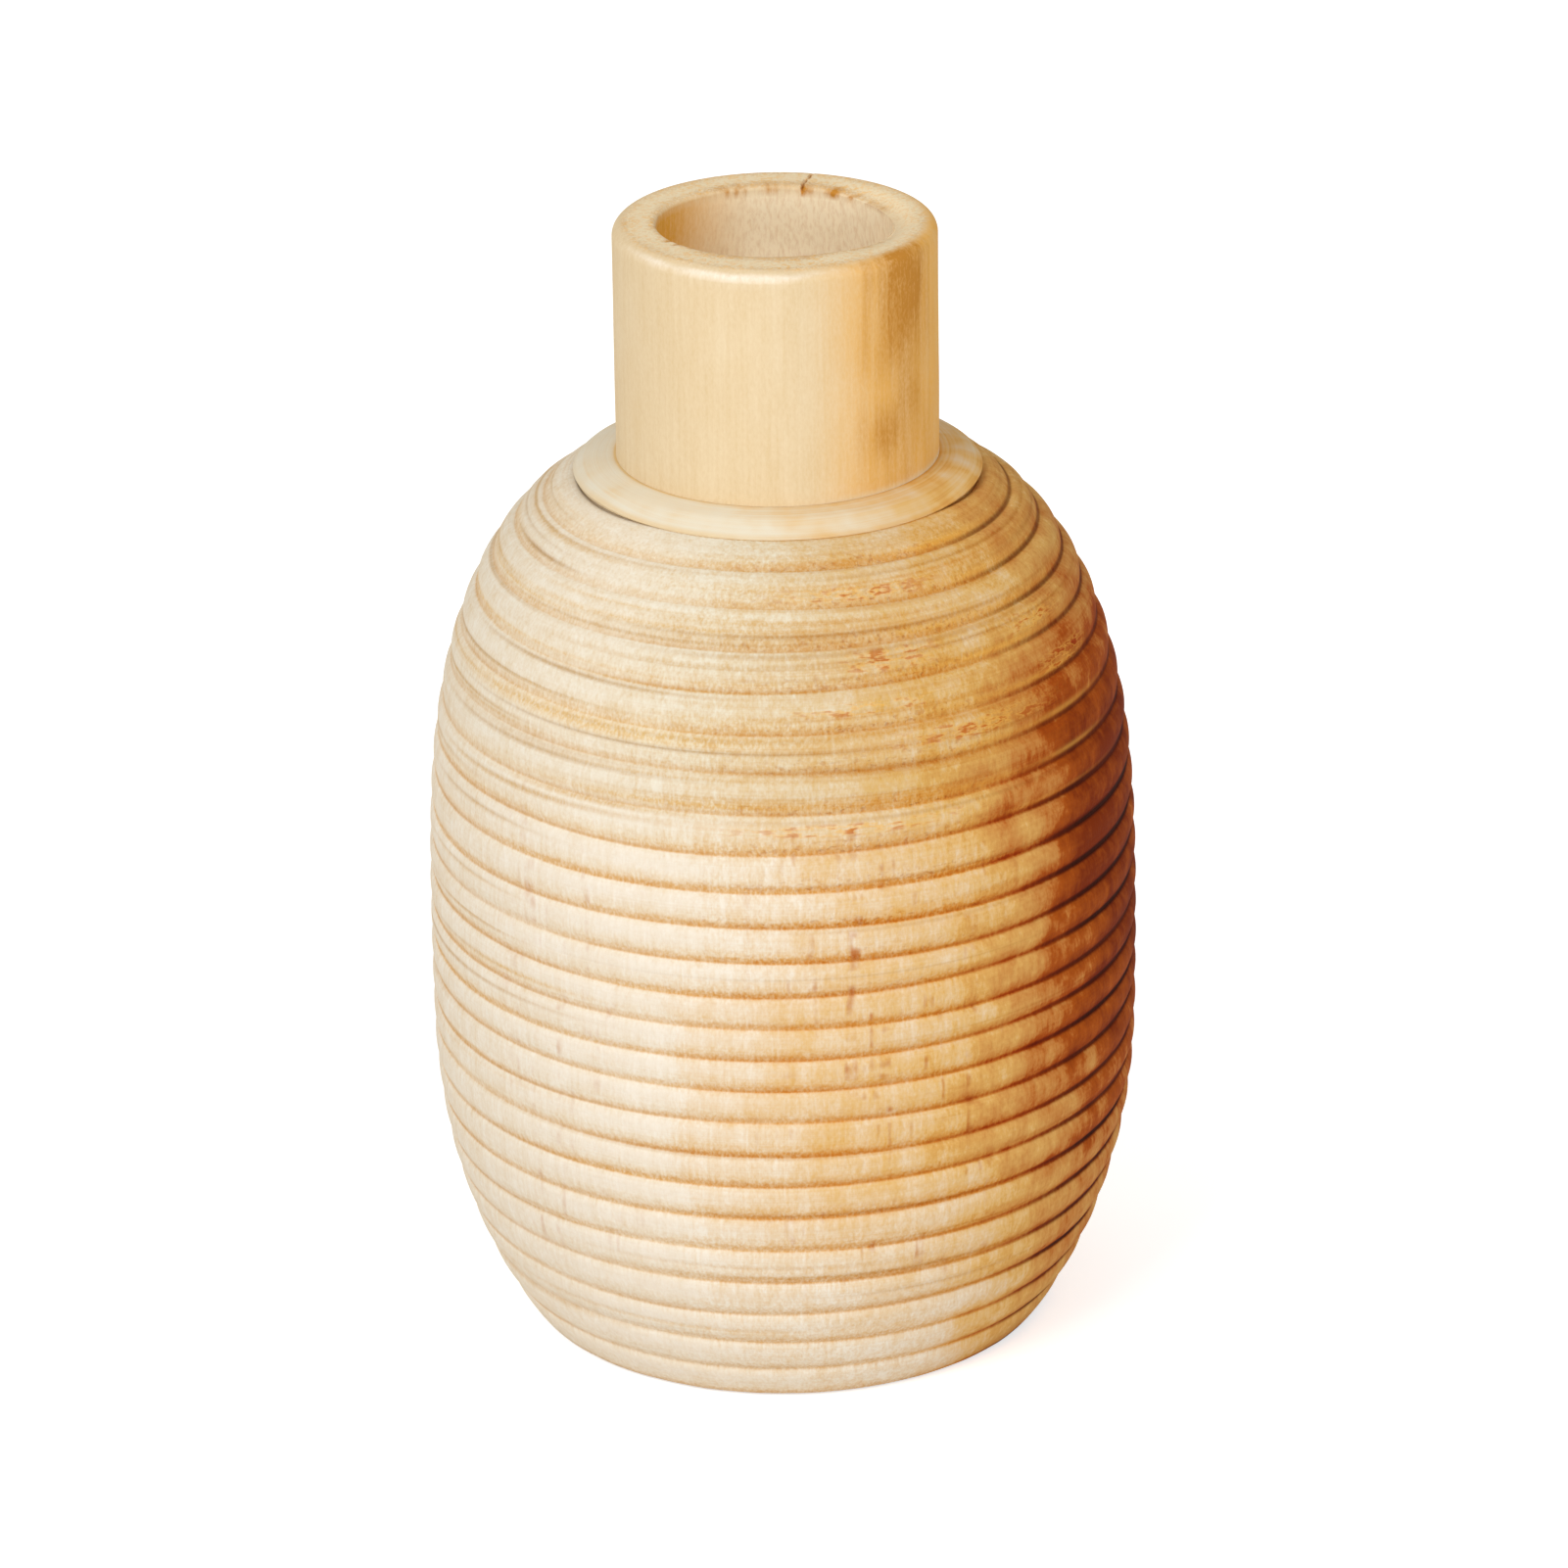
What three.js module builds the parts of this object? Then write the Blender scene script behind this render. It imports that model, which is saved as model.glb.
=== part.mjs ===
// A turned wooden vase: a plain round neck, a collar and a ribbed, hollow body on a flat foot.
// Millimetres, with +Z up along the turning axis and the origin in the middle of the underside.
import * as THREE from 'three';

// Neck tube, with a spigot below it that is stepped in from its outside
const neckDiameter = 77.8;
const neckHeight = 57.7;
const neckWall = 10.7;
const rimOuterRound = 3.0;
const rimInnerRound = 1.2;
const spigotStep = 4.9;
const spigotChamfer = 1.5;

// Collar round the root of the neck: flat under the neck, then domed down to a thin edge
const collarReach = 10.35;
const collarThickness = 4.6;
const collarEdge = 1.0;
const collarEase = 0.5;
const domeStart = 2.0;
const domeTurn = 0.75;

// Outline of the body: its shoulder starts inside the collar's edge, and the land that carries the
// collar stands a step inside that
const collarOverhang = 0.95;
const landStep = 1.25;
const shoulderHeight = 133.8;
const bellyDiameter = 173.8;
const bellyHeight = 82.7;
const footDiameter = 129.2;
const shoulderStart = 3.6;
const shoulderTurn = 0.7;
const footStart = 2.34;
const footTurn = 0.92;

// Ribs turned round the body, each rib a round bead between two grooves
const ribCount = 25;
const ribDepth = 1.3;
const beadSquareness = 3.0;
const beadStations = [0, 0.14, 0.5, 0.86];
const slowDrift = -0.0024;
const endDrift = 0.0166;
const middleDrift = -0.0056;

// Hollow of the body and the joint between its halves
const bodyWall = 13.0;
const shoulderThickness = 14.5;
const jointAboveBelly = 25.0;
const tenonHeight = 8.0;
const tenonThickness = 5.5;

// Bottom of the body: a ring that it stands on, a ledge, the plug under the ledge and the felt
const footRingWidth = 18.3;
const ledgeThickness = 4.0;
const ledgeWidth = 5.0;
const plugThickness = 8.0;
const feltMargin = 4.0;
const feltThickness = 1.2;
const feltProud = 0.6;

// Clearances: round a spigot, tenon or plug, and across a glued face
const fitGap = 0.3;
const glueLine = 0.3;

// Steps of the round forms
const segments = 40;
const roundSteps = 3;
const domeSteps = 5;
const cavityRings = 7;
const outlineSteps = 600;

// Colours
const neckColour = 0xedd6aa;
const collarColour = 0xe6cfa3;
const upperColour = 0xeed7b9;
const lowerColour = 0xeed8bd;
const plugColour = 0xdcbd8c;
const feltColour = 0x6b5a48;

// Radii
const neckRadius = neckDiameter / 2;
const mouthRadius = neckRadius - neckWall;
const spigotRadius = neckRadius - spigotStep;
const socketRadius = spigotRadius + fitGap;
const collarRadius = neckRadius + collarReach;
const shoulderRadius = collarRadius - collarOverhang;
const bellyRadius = bellyDiameter / 2;
const footRadius = footDiameter / 2;
const rebateRadius = footRadius - footRingWidth;
const plugRadius = rebateRadius - fitGap;

// Heights in the body's own frame, where the foot is zero
const bodyHeight = bellyHeight + shoulderHeight;
const cavityTop = bodyHeight - shoulderThickness;
const spigotLength = shoulderThickness + collarThickness + 2 * glueLine;
const plugRecess = feltThickness + glueLine - feltProud;
const rebateTop = plugRecess + plugThickness + glueLine;
const cavityFloor = rebateTop + ledgeThickness;

// A point of a section.
function at(radius, height) {
  return new THREE.Vector2(radius, height);
}

// A curve that falls from 1 to 0 as its run goes from 0 to 1: (1 - run^start)^turn. A larger start keeps
// it level for longer, and a smaller turn ends it more steeply.
function falling(run, start, turn) {
  return Math.pow(Math.max(0, 1 - Math.pow(run, start)), turn);
}

// Radius of the body at a height, over the crests of its ribs. It falls from the belly's radius to that
// of the shoulder above it and of the foot below it.
function bodyRadius(height) {
  const above = height > bellyHeight;
  const endRadius = above ? shoulderRadius : footRadius;
  const share = above
    ? falling((height - bellyHeight) / shoulderHeight, shoulderStart, shoulderTurn)
    : falling((bellyHeight - height) / bellyHeight, footStart, footTurn);
  return endRadius + (bellyRadius - endRadius) * share;
}

// The outline as a curve, so that a place on it can be given as a share of its length.
class BodyOutline extends THREE.Curve {
  getPoint(t, target = new THREE.Vector2()) {
    const height = bodyHeight * t;
    return target.set(bodyRadius(height), height);
  }
}

const bodyOutline = new BodyOutline();
bodyOutline.arcLengthDivisions = outlineSteps;

// Share of the outline's length, counted from the shoulder down, where a groove is cut. The spacing is
// that of a hand tool: nearly even, a little wider at the shoulder and the foot than round the belly.
function grooveShare(groove) {
  const even = groove / ribCount;
  return even
    + slowDrift * Math.sin(Math.PI * even)
    + endDrift * Math.sin(2 * Math.PI * even)
    + middleDrift * Math.sin(3 * Math.PI * even);
}

// A point of the body's surface at a share from the shoulder, cut in by a depth square to the outline.
function surfacePoint(share, depth) {
  const along = 1 - share;
  const point = bodyOutline.getPointAt(along);
  const tangent = bodyOutline.getTangentAt(along);
  return at(point.x - depth * tangent.y, point.y + depth * tangent.x);
}

// The ribbed side from one groove up to another. A bead stands full in its middle and runs down to the
// groove on each side as |2v - 1|^squareness. The lowest bead stays full down to the foot's edge.
function ribbedSide(lowerGroove, upperGroove) {
  const points = [];
  for (let groove = lowerGroove; groove > upperGroove; groove -= 1) {
    const lowerShare = grooveShare(groove);
    const upperShare = grooveShare(groove - 1);
    for (const station of beadStations) {
      const fromCrest = 2 * station - 1;
      const side = groove === ribCount ? Math.max(0, fromCrest) : Math.abs(fromCrest);
      const depth = ribDepth * Math.pow(side, beadSquareness);
      points.push(surfacePoint(lowerShare + (upperShare - lowerShare) * station, depth));
    }
  }
  return points;
}

// The groove that lies nearest to a height.
function nearestGroove(height) {
  let nearest = 1;
  for (let groove = 2; groove < ribCount; groove += 1) {
    const miss = Math.abs(surfacePoint(grooveShare(groove), 0).y - height);
    const best = Math.abs(surfacePoint(grooveShare(nearest), 0).y - height);
    nearest = miss < best ? groove : nearest;
  }
  return nearest;
}

// The halves of the body meet at the bottom of a groove, and the tenon stands up from there.
const jointGroove = nearestGroove(bellyHeight + jointAboveBelly);
const joint = surfacePoint(grooveShare(jointGroove), ribDepth);
const tenonTop = joint.y + tenonHeight;
const tenonInnerRadius = bodyRadius(tenonTop) - bodyWall;
const tenonOuterRadius = tenonInnerRadius + tenonThickness;

// The wall of the hollow from one height down to another, one thickness inside the ribs' crests.
function cavityWall(fromHeight, toHeight) {
  const points = [];
  for (let ring = 0; ring <= cavityRings; ring += 1) {
    const height = fromHeight + (toHeight - fromHeight) * ring / cavityRings;
    points.push(at(bodyRadius(height) - bodyWall, height));
  }
  return points;
}

// A quarter round about a centre, starting in a direction given in degrees.
function quarterRound(radius, height, round, startDegrees) {
  const points = [];
  for (let step = 0; step <= roundSteps; step += 1) {
    const angle = THREE.MathUtils.degToRad(startDegrees + 90 * step / roundSteps);
    points.push(at(radius + round * Math.cos(angle), height + round * Math.sin(angle)));
  }
  return points;
}

// A solid of revolution. Its section runs up the outside and down the inside, and either starts and ends
// on the axis or is closed on itself here.
function turnedPiece(name, section, color, roughness) {
  const onAxis = section[0].x === 0;
  const profile = onAxis ? section : [...section, section[0].clone()];
  const geometry = new THREE.LatheGeometry(profile, segments);
  geometry.rotateX(Math.PI / 2);
  const piece = new THREE.Mesh(geometry, new THREE.MeshStandardMaterial({ color, roughness, metalness: 0 }));
  piece.name = name;
  return piece;
}

// A plain disc with its zero at its underside.
function turnedDisc(name, radius, thickness, color, roughness) {
  const section = [at(0, 0), at(radius, 0), at(radius, thickness), at(0, thickness)];
  return turnedPiece(name, section, color, roughness);
}

// Neck: its zero is the step that sits on the collar. The spigot reaches down from there through the
// collar and the body's socket.
function neckTube() {
  return turnedPiece('neck_tube', [
    at(mouthRadius, -spigotLength),
    at(spigotRadius - spigotChamfer, -spigotLength),
    at(spigotRadius, -spigotLength + spigotChamfer),
    at(spigotRadius, 0),
    at(neckRadius, 0),
    ...quarterRound(neckRadius - rimOuterRound, neckHeight - rimOuterRound, rimOuterRound, 0),
    ...quarterRound(mouthRadius + rimInnerRound, neckHeight - rimInnerRound, rimInnerRound, 90),
  ], neckColour, 0.75);
}

// Collar: a ring whose zero is its flat underside. Its top is flat under the neck and domed outside it.
function shoulderCollar() {
  const dome = [];
  for (let step = 0; step <= domeSteps; step += 1) {
    const run = 1 - step / domeSteps;
    const height = collarEdge + (collarThickness - collarEdge) * falling(run, domeStart, domeTurn);
    dome.push(at(neckRadius + collarReach * run, height));
  }
  return turnedPiece('shoulder_collar', [
    at(socketRadius, 0),
    at(collarRadius - collarEase, 0),
    ...dome,
    at(socketRadius, collarThickness),
  ], collarColour, 0.75);
}

// Upper half of the body: ribbed outside, with the land for the collar and the socket for the spigot on
// top, and a rebate below that takes the lower half's tenon.
function upperBody() {
  const lip = joint.y + glueLine / 2;
  const rebateCeiling = tenonTop + fitGap;
  return turnedPiece('upper_body', [
    at(tenonOuterRadius + fitGap, lip),
    at(joint.x, lip),
    ...ribbedSide(jointGroove, 0).slice(1),
    surfacePoint(0, ribDepth),
    at(shoulderRadius - landStep, bodyHeight),
    at(socketRadius, bodyHeight),
    at(socketRadius, cavityTop),
    ...cavityWall(cavityTop, rebateCeiling),
    at(tenonOuterRadius + fitGap, rebateCeiling),
  ], upperColour, 0.8);
}

// Lower half of the body: ribbed outside, with the tenon on top and, in the foot, a rebate and a ledge
// for the plug.
function lowerBody() {
  const lip = joint.y - glueLine / 2;
  return turnedPiece('lower_body', [
    at(rebateRadius, 0),
    ...ribbedSide(ribCount, jointGroove),
    at(joint.x, lip),
    at(tenonOuterRadius, lip),
    at(tenonOuterRadius, tenonTop),
    at(tenonInnerRadius, tenonTop),
    ...cavityWall(joint.y, cavityFloor),
    at(rebateRadius - ledgeWidth, cavityFloor),
    at(rebateRadius - ledgeWidth, rebateTop),
    at(rebateRadius, rebateTop),
  ], lowerColour, 0.8);
}

const plug = turnedDisc('base_plug', plugRadius, plugThickness, plugColour, 0.85);
plug.position.z = plugRecess;
const collar = shoulderCollar();
collar.position.z = bodyHeight + glueLine;
const neck = neckTube();
neck.position.z = collar.position.z + collarThickness + glueLine;

const body = new THREE.Group();
body.position.z = feltProud;
body.add(upperBody(), lowerBody(), plug, collar, neck);

const vase = new THREE.Group();
vase.add(body, turnedDisc('felt_pad', plugRadius - feltMargin, feltThickness, feltColour, 0.95));

export default vase;
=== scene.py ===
"""A turned wooden vase: a plain neck, a collar, a ribbed and hollow body in two halves, and a closed foot.

Every piece is a surface of revolution worked out on a grid of rows, which follow the turner's section up the
outside and down the inside, and columns, which go once round the turning axis.

A place round the vase is a turn, from 0 to 1 and counterclockwise from above, or is given in degrees to the
right of the front. A place down the body is given in ribs: 0 is the groove at the shoulder, every whole
number is a groove, and the last one is the foot.
"""

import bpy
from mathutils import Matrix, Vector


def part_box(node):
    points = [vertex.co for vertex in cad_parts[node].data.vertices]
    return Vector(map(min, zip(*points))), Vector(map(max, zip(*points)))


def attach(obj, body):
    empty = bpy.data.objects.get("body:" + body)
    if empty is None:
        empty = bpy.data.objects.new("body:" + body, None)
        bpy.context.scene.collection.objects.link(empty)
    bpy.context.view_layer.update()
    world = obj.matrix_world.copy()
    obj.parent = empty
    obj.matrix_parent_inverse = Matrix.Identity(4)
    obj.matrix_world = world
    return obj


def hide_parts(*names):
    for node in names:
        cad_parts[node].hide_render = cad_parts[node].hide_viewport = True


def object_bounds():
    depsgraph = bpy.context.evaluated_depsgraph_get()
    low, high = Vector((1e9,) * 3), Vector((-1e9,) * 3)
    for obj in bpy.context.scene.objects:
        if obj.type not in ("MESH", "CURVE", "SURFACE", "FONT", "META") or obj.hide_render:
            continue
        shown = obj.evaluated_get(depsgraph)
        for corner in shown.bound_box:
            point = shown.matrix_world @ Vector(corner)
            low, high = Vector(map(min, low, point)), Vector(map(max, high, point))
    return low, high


bl_info = {
    "name": "Turned Ribbed Vase",
    "version": (1, 0, 0),
    "blender": (4, 5, 0),
    "location": "3D View > Sidebar > Vase",
    "description": "Builds a turned wooden vase with a plain neck, a collar and a ribbed body",
    "category": "Object",
}

import math

import bpy
import numpy as np
from bpy.props import FloatProperty, FloatVectorProperty, IntProperty, PointerProperty
from mathutils import Euler, Vector

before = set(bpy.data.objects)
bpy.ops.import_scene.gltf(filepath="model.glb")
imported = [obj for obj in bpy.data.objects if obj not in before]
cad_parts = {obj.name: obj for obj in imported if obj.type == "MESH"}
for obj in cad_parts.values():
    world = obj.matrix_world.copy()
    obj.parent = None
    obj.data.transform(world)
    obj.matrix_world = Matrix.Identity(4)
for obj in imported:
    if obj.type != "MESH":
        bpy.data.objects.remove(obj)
CAD_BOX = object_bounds()

MM = 0.001
NECK_LOW, NECK_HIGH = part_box("neck_tube")
COLLAR_LOW, COLLAR_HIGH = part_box("shoulder_collar")
UPPER_LOW, UPPER_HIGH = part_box("upper_body")
LOWER_LOW, LOWER_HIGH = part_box("lower_body")
PLUG_LOW, PLUG_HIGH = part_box("base_plug")
FELT_LOW, FELT_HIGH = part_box("felt_pad")


def linear(code):
    """The linear colour of an sRGB hex value, with full opacity."""
    channels = [int(code[i:i + 2], 16) / 255 for i in (1, 3, 5)]
    return (*[c / 12.92 if c <= 0.04045 else ((c + 0.055) / 1.055) ** 2.4 for c in channels], 1.0)


def length(name, description, millimetres):
    """A length in metres whose default is given in millimetres."""
    return FloatProperty(
        name=name, description=description, default=millimetres * MM, unit="LENGTH", precision=5
    )


def colour(name, description, code):
    """A colour whose default is given as an sRGB hex value."""
    return FloatVectorProperty(
        name=name, description=description, default=linear(code), size=4, subtype="COLOR", min=0.0, max=1.0
    )


class VaseNeckSettings(bpy.types.PropertyGroup):
    """Sizes of the neck and the collar at its root."""

    wall: length("Wall", "Thickness of the neck's wall", 10.7)
    rim_outer_round: length("Rim outer round", "Radius of the rim's outer edge", 3.0)
    rim_inner_round: length("Rim inner round", "Radius of the rim's inner edge", 1.2)
    spigot_step: length("Spigot step", "How far the spigot is stepped in from the neck", 4.9)
    spigot_chamfer: length("Spigot chamfer", "Bevel at the spigot's end", 1.5)
    collar_edge: length("Collar edge", "Thickness of the collar's outer edge", 1.0)
    collar_ease: length("Collar ease", "Rounding under the collar's outer edge", 0.5)
    collar_flush: length("Collar flush", "How much less the collar stands out on the front", 1.0)
    torn_depth: length("Torn edge", "Depth of the torn grain on the rim's inner edge", 0.7)
    check_depth: length("Check", "Depth of the drying check in the rim", 1.1)
    mouth_oval: length("Oval mouth", "How much nearer the bore's front and back lie to the axis", 2.4)
    worn_depth: length("Worn edge", "How far the rim is worn down at the mouth's right", 2.2)


class VaseBodySettings(bpy.types.PropertyGroup):
    """Sizes of the ribbed body."""

    belly_height: length("Belly height", "Height of the widest place above the foot", 82.7)
    foot_radius: length("Foot radius", "Radius of the outline at the foot", 64.6)
    collar_overhang: length("Collar overhang", "How far the collar stands out over the shoulder", 0.95)
    land_step: length("Land step", "How far the land under the collar is set in", 1.25)
    rib_count: IntProperty(name="Ribs", description="Ribs from the shoulder to the foot", default=25)
    rib_depth: length("Rib depth", "Depth of the grooves below the crests", 1.3)
    wander: length("Wander", "How far a groove strays up or down round the body", 0.5)
    wall: length("Wall", "Thickness of the body's wall", 13.0)
    shoulder_thickness: length("Shoulder thickness", "Thickness of wood over the hollow", 14.5)
    joint_above_belly: length("Joint", "Height above the belly where the halves meet", 25.0)
    tenon_height: length("Tenon height", "Height of the lower half's tenon", 8.0)
    tenon_thickness: length("Tenon thickness", "Thickness of the lower half's tenon", 5.5)
    ledge_width: length("Ledge width", "Width of the ledge over the plug", 5.0)
    ledge_thickness: length("Ledge thickness", "Thickness of the ledge over the plug", 4.0)


class VaseColours(bpy.types.PropertyGroup):
    """Colours of the wood, the felt and the floor."""

    sapwood: colour("Sapwood", "Pale wood of the body", "#F0E6D5")
    sapwood_streak: colour("Sapwood streak", "Darker grain of the pale wood", "#E3CEAE")
    # Honey, cinnamon and umber are the stages of painted shade that deepens on the right flank; cinnamon also
    # colours the plug's growth rings
    honey: colour("Honey", "First stage of the darker wood on the right flank", "#E1B264")
    cinnamon: colour("Cinnamon", "Second stage of the darker wood", "#B85A14")
    umber: colour("Umber", "Darkest wood of the right flank", "#802F05")
    # Painted shade that dulls the shoulder
    shoulder_shade: colour("Weathered", "Tint of the duller wood of the shoulder", "#EEF1EA")
    banding: colour("Banding", "Tint of the bands that the tool left on the shoulder", "#EFD2A6")
    # Painted highlight: a yellow glint on the lower edges of the ribs on the right shoulder; it also tints
    # the pale crescents round the torn flakes
    glint: colour("Glint", "Burnished yellow edge of the ribs on the right shoulder", "#EDB552")
    # Painted highlight on the upper part of the ribs on the left
    sheen: colour("Sheen", "Whitish upper part of the ribs on the left", "#F0E5D6")
    # Painted shade on the lower part of each rib, under the collar's outer edge and at the neck's root
    golden_edge_shade: colour("Golden edge", "Tint of the burnished lower part of a rib", "#FAE0AE")
    # Painted shade at the bottom of a groove
    groove: colour("Groove", "Tint of the line in the bottom of a groove", "#E2C092")
    # Painted shade in the band above a groove
    groove_band: colour("Groove band", "Tint of the golden band above a groove", "#EDC478")
    # Painted shade, nearly black, in the grooves of the right flank and under the collar's edge on the left
    black_line: colour("Black line", "Burnt line in the grooves of the right flank", "#2C0D02")
    speck: colour("Speck", "Tint of the small brown specks of torn grain", "#D89B5C")
    mark: colour("Mark", "Tint of the short upright grain marks", "#D08A48")
    chip: colour("Chip", "Tint of the orange flakes of torn grain", "#E69C4A")
    neck: colour("Neck", "Wood of the neck", "#EBD6B2")
    neck_streak: colour("Neck streak", "Darker grain of the neck", "#E0C598")
    # Brown figure and torn grain, and also painted shade on the bore's left wall and along the mouth's front
    # inner edge
    stain_and_shade: colour("Stain", "Brown figure on the neck's right", "#C68735")
    # Painted shade: golden down the neck's right side and on the bore's shaded left wall; it also colours the
    # rim's end-grain specks
    neck_gold: colour("Neck gold", "Golden wood on the neck's right and in the bore's left", "#F0B24C")
    # The rim's outer front edge: pale with rubbing, and a painted highlight
    worn: colour("Worn edge", "Pale, rubbed edge of the rim", "#FFF6E8")
    # Painted light: the rim's flat top is painted lighter than the wood
    rim: colour("Rim", "Wood of the rim's flat top", "#FFECC4")
    # Painted light: the bore's wood is painted near white to lighten the inside of the mouth
    bore: colour("Bore", "Rough wood inside the mouth", "#FFF0D0")
    collar: colour("Collar", "Wood of the collar", "#E4DBC6")
    plug: colour("Plug", "End grain of the plug", "#DCBD8C")
    felt: colour("Felt", "Felt under the foot", "#6B5A48")
    floor: colour("Floor", "Plain pale floor", "#F2F1F0")


# Shapes of the outline and of the ribs, as plain numbers

SHOULDER_START = 3.6
SHOULDER_TURN = 0.7
FOOT_START = 2.34
FOOT_TURN = 0.92
DOME_START = 2.0
DOME_TURN = 0.75
SLOW_DRIFT = -0.0024
END_DRIFT = 0.0166
MIDDLE_DRIFT = -0.0056
BEAD_SQUARENESS = 2.7
BEAD_SKEW = 0.78
BOTTOM_START = 0.7
BOTTOM_SLOPE = 0.35

# Seed of the noise, the turn of the front, and the usual distance between two grooves

SEED = 7
FRONT_TURN = 0.75
RIB_PITCH = 9.4 * MM

# How far the neck's step stands off the collar and the halves of the body off each other, so that no faces
# coincide, and the angle beyond which an edge looks sharp

STEP_GAP = 0.05 * MM
SEAM = 0.02 * MM
SHARP_EDGE = math.radians(38)

# Places round the vase, in degrees to the right of the front: the middle of a flank and the degrees to each
# side over which it runs out, and where the collar meets the shoulder, from, to and run out over

LEFT_FLANK = (-50, 75)
RIGHT_FLANK = (80, 75)
COLLAR_FRONT = (-32, 45, 34)

# Depths of the first grooves on the front, as shares of their depth elsewhere

FRONT_GROOVES = (0.0, 0.45, 0.32, 0.55, 0.42, 0.62, 0.85, 0.95)

# Lines that the tool left beside the grooves: place in ribs, degrees to the right of the front where the line
# is strongest, degrees to each side over which it runs out, width and depth in millimetres, and how golden
# and how dark the painted shade in it is

TOOL_LINES = (
    (0.55, -70, 30, 0.7, 0.10, 0.3, 0.0),
    (1.80, -66, 24, 0.5, 0.45, 0.5, 0.6),
    (1.55, 15, 60, 0.9, 0.10, 0.5, 0.0),
    (2.38, 5, 55, 0.8, 0.12, 0.7, 0.1),
    (2.86, -25, 60, 0.5, 0.25, 0.4, 0.3),
    (3.42, -10, 60, 0.5, 0.22, 0.5, 0.2),
    (4.14, -42, 40, 0.5, 0.40, 0.5, 0.5),
    (4.62, 20, 70, 0.7, 0.15, 0.5, 0.1),
    (5.22, -30, 75, 2.2, 0.12, 0.8, 0.0),
    (5.50, -25, 60, 0.4, 0.25, 0.0, 0.5),
    (6.25, -45, 45, 0.5, 0.35, 0.4, 0.4),
    (6.62, 10, 80, 0.6, 0.18, 0.4, 0.1),
    (7.35, -55, 30, 0.6, 0.25, 0.6, 0.2),
    (8.34, -60, 25, 0.5, 0.25, 0.5, 0.3),
    (9.60, 45, 40, 0.6, 0.15, 0.3, 0.1),
    (10.30, -64, 26, 0.5, 0.25, 0.5, 0.2),
    (12.62, -48, 24, 0.8, 0.12, 0.6, 0.0),
    (20.50, -5, 50, 0.6, 0.16, 0.3, 0.1),
    (21.45, 30, 40, 0.6, 0.20, 0.4, 0.2),
    (22.52, -20, 60, 0.6, 0.16, 0.4, 0.1),
)
FAINT_LINES = 110
FAINT_SHOULDER_RIBS = 8

# Patches of torn flakes: place in ribs, degrees to the right of the front, half width in degrees and half
# height in ribs

CHIPS = (
    (1.7, 18, 26, 0.25),
    (3.4, 21, 16, 0.40),
    (4.5, 16, 22, 0.20),
    (5.4, 36, 26, 0.30),
    (3.5, 57, 14, 0.40),
    (4.7, 62, 14, 0.35),
    (7.4, 12, 30, 0.20),
)

# Brown spots of torn grain at the mouth's edge: degrees to the right of the front, half width and strength.
# The last, broad one on the front is torn grain and painted shade along the inner edge

MOUTH_SPOTS = ((-172, 28, 1.0), (163, 6, 1.0), (148, 10, 1.0), (115, 20, 0.6), (0, 100, 0.7))
CHECK_DEGREES = 165.5


# Easing, places round the vase and noise


def smooth(share):
    """A share held between 0 and 1 and eased at both ends: 3s^2 - 2s^3."""
    held = np.clip(share, 0, 1)
    return held * held * (3 - 2 * held)


def eased(value, start, span):
    """0 at a start, eased up to 1 one span further on. A negative span runs the other way."""
    return smooth((value - start) / span)


def bump(value, middle, half_width):
    """1 at a middle, eased to 0 at a half width to each side."""
    return smooth(1 - np.abs(value - middle) / half_width)


def turns(columns):
    """The turns of a number of columns, in one row of the grid."""
    return (np.arange(columns) / columns)[None, :]


def turn_at(degrees):
    """The turn that lies some degrees to the right of the front."""
    return (FRONT_TURN + degrees / 360) % 1


def turn_between(turn, other):
    """The shorter way between two turns, as a share of a full turn and without its sign."""
    return np.abs((turn - other + 0.5) % 1 - 0.5)


def degrees_right(turn):
    """Degrees to the right of the front, from -180 to 180."""
    return ((turn - FRONT_TURN + 0.5) % 1 - 0.5) * 360


def near(turn, degrees, half_width):
    """1 at a place some degrees to the right of the front, eased to 0 at a half width to each side."""
    return bump(360 * turn_between(turn, turn_at(degrees)), 0, half_width)


def between(turn, start, end, ease):
    """1 from one place to another, in degrees to the right of the front, eased to 0 beyond each of them."""
    degrees = degrees_right(turn)
    return eased(degrees, start - ease, ease) * eased(degrees, end + ease, -ease)


def ripple(turn, rise, cells, seed):
    """Smooth noise from -1 to 1 that closes round the piece.

    Random values stand on a lattice with a number of cells in a turn and one cell for each unit of rise, and
    are blended between the lattice's points by the eased share.
    """
    turn, rise = np.broadcast_arrays(turn, rise)
    lattice = np.random.default_rng(SEED + seed).uniform(-1, 1, (int(rise.max()) + 2, cells))
    column = np.floor(turn * cells).astype(int)
    row = np.floor(rise).astype(int)
    across = smooth(turn * cells - column)
    up = smooth(rise - row)
    low = lattice[row, column % cells] * (1 - across) + lattice[row, (column + 1) % cells] * across
    high = lattice[row + 1, column % cells] * (1 - across) + lattice[row + 1, (column + 1) % cells] * across
    return low * (1 - up) + high * up


# Outline and ribs of the body


def falling(run, start, turn):
    """A curve that falls from 1 to 0 as its run goes from 0 to 1: (1 - run^start)^turn."""
    return np.maximum(0, 1 - np.maximum(run, 0) ** start) ** turn


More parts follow.
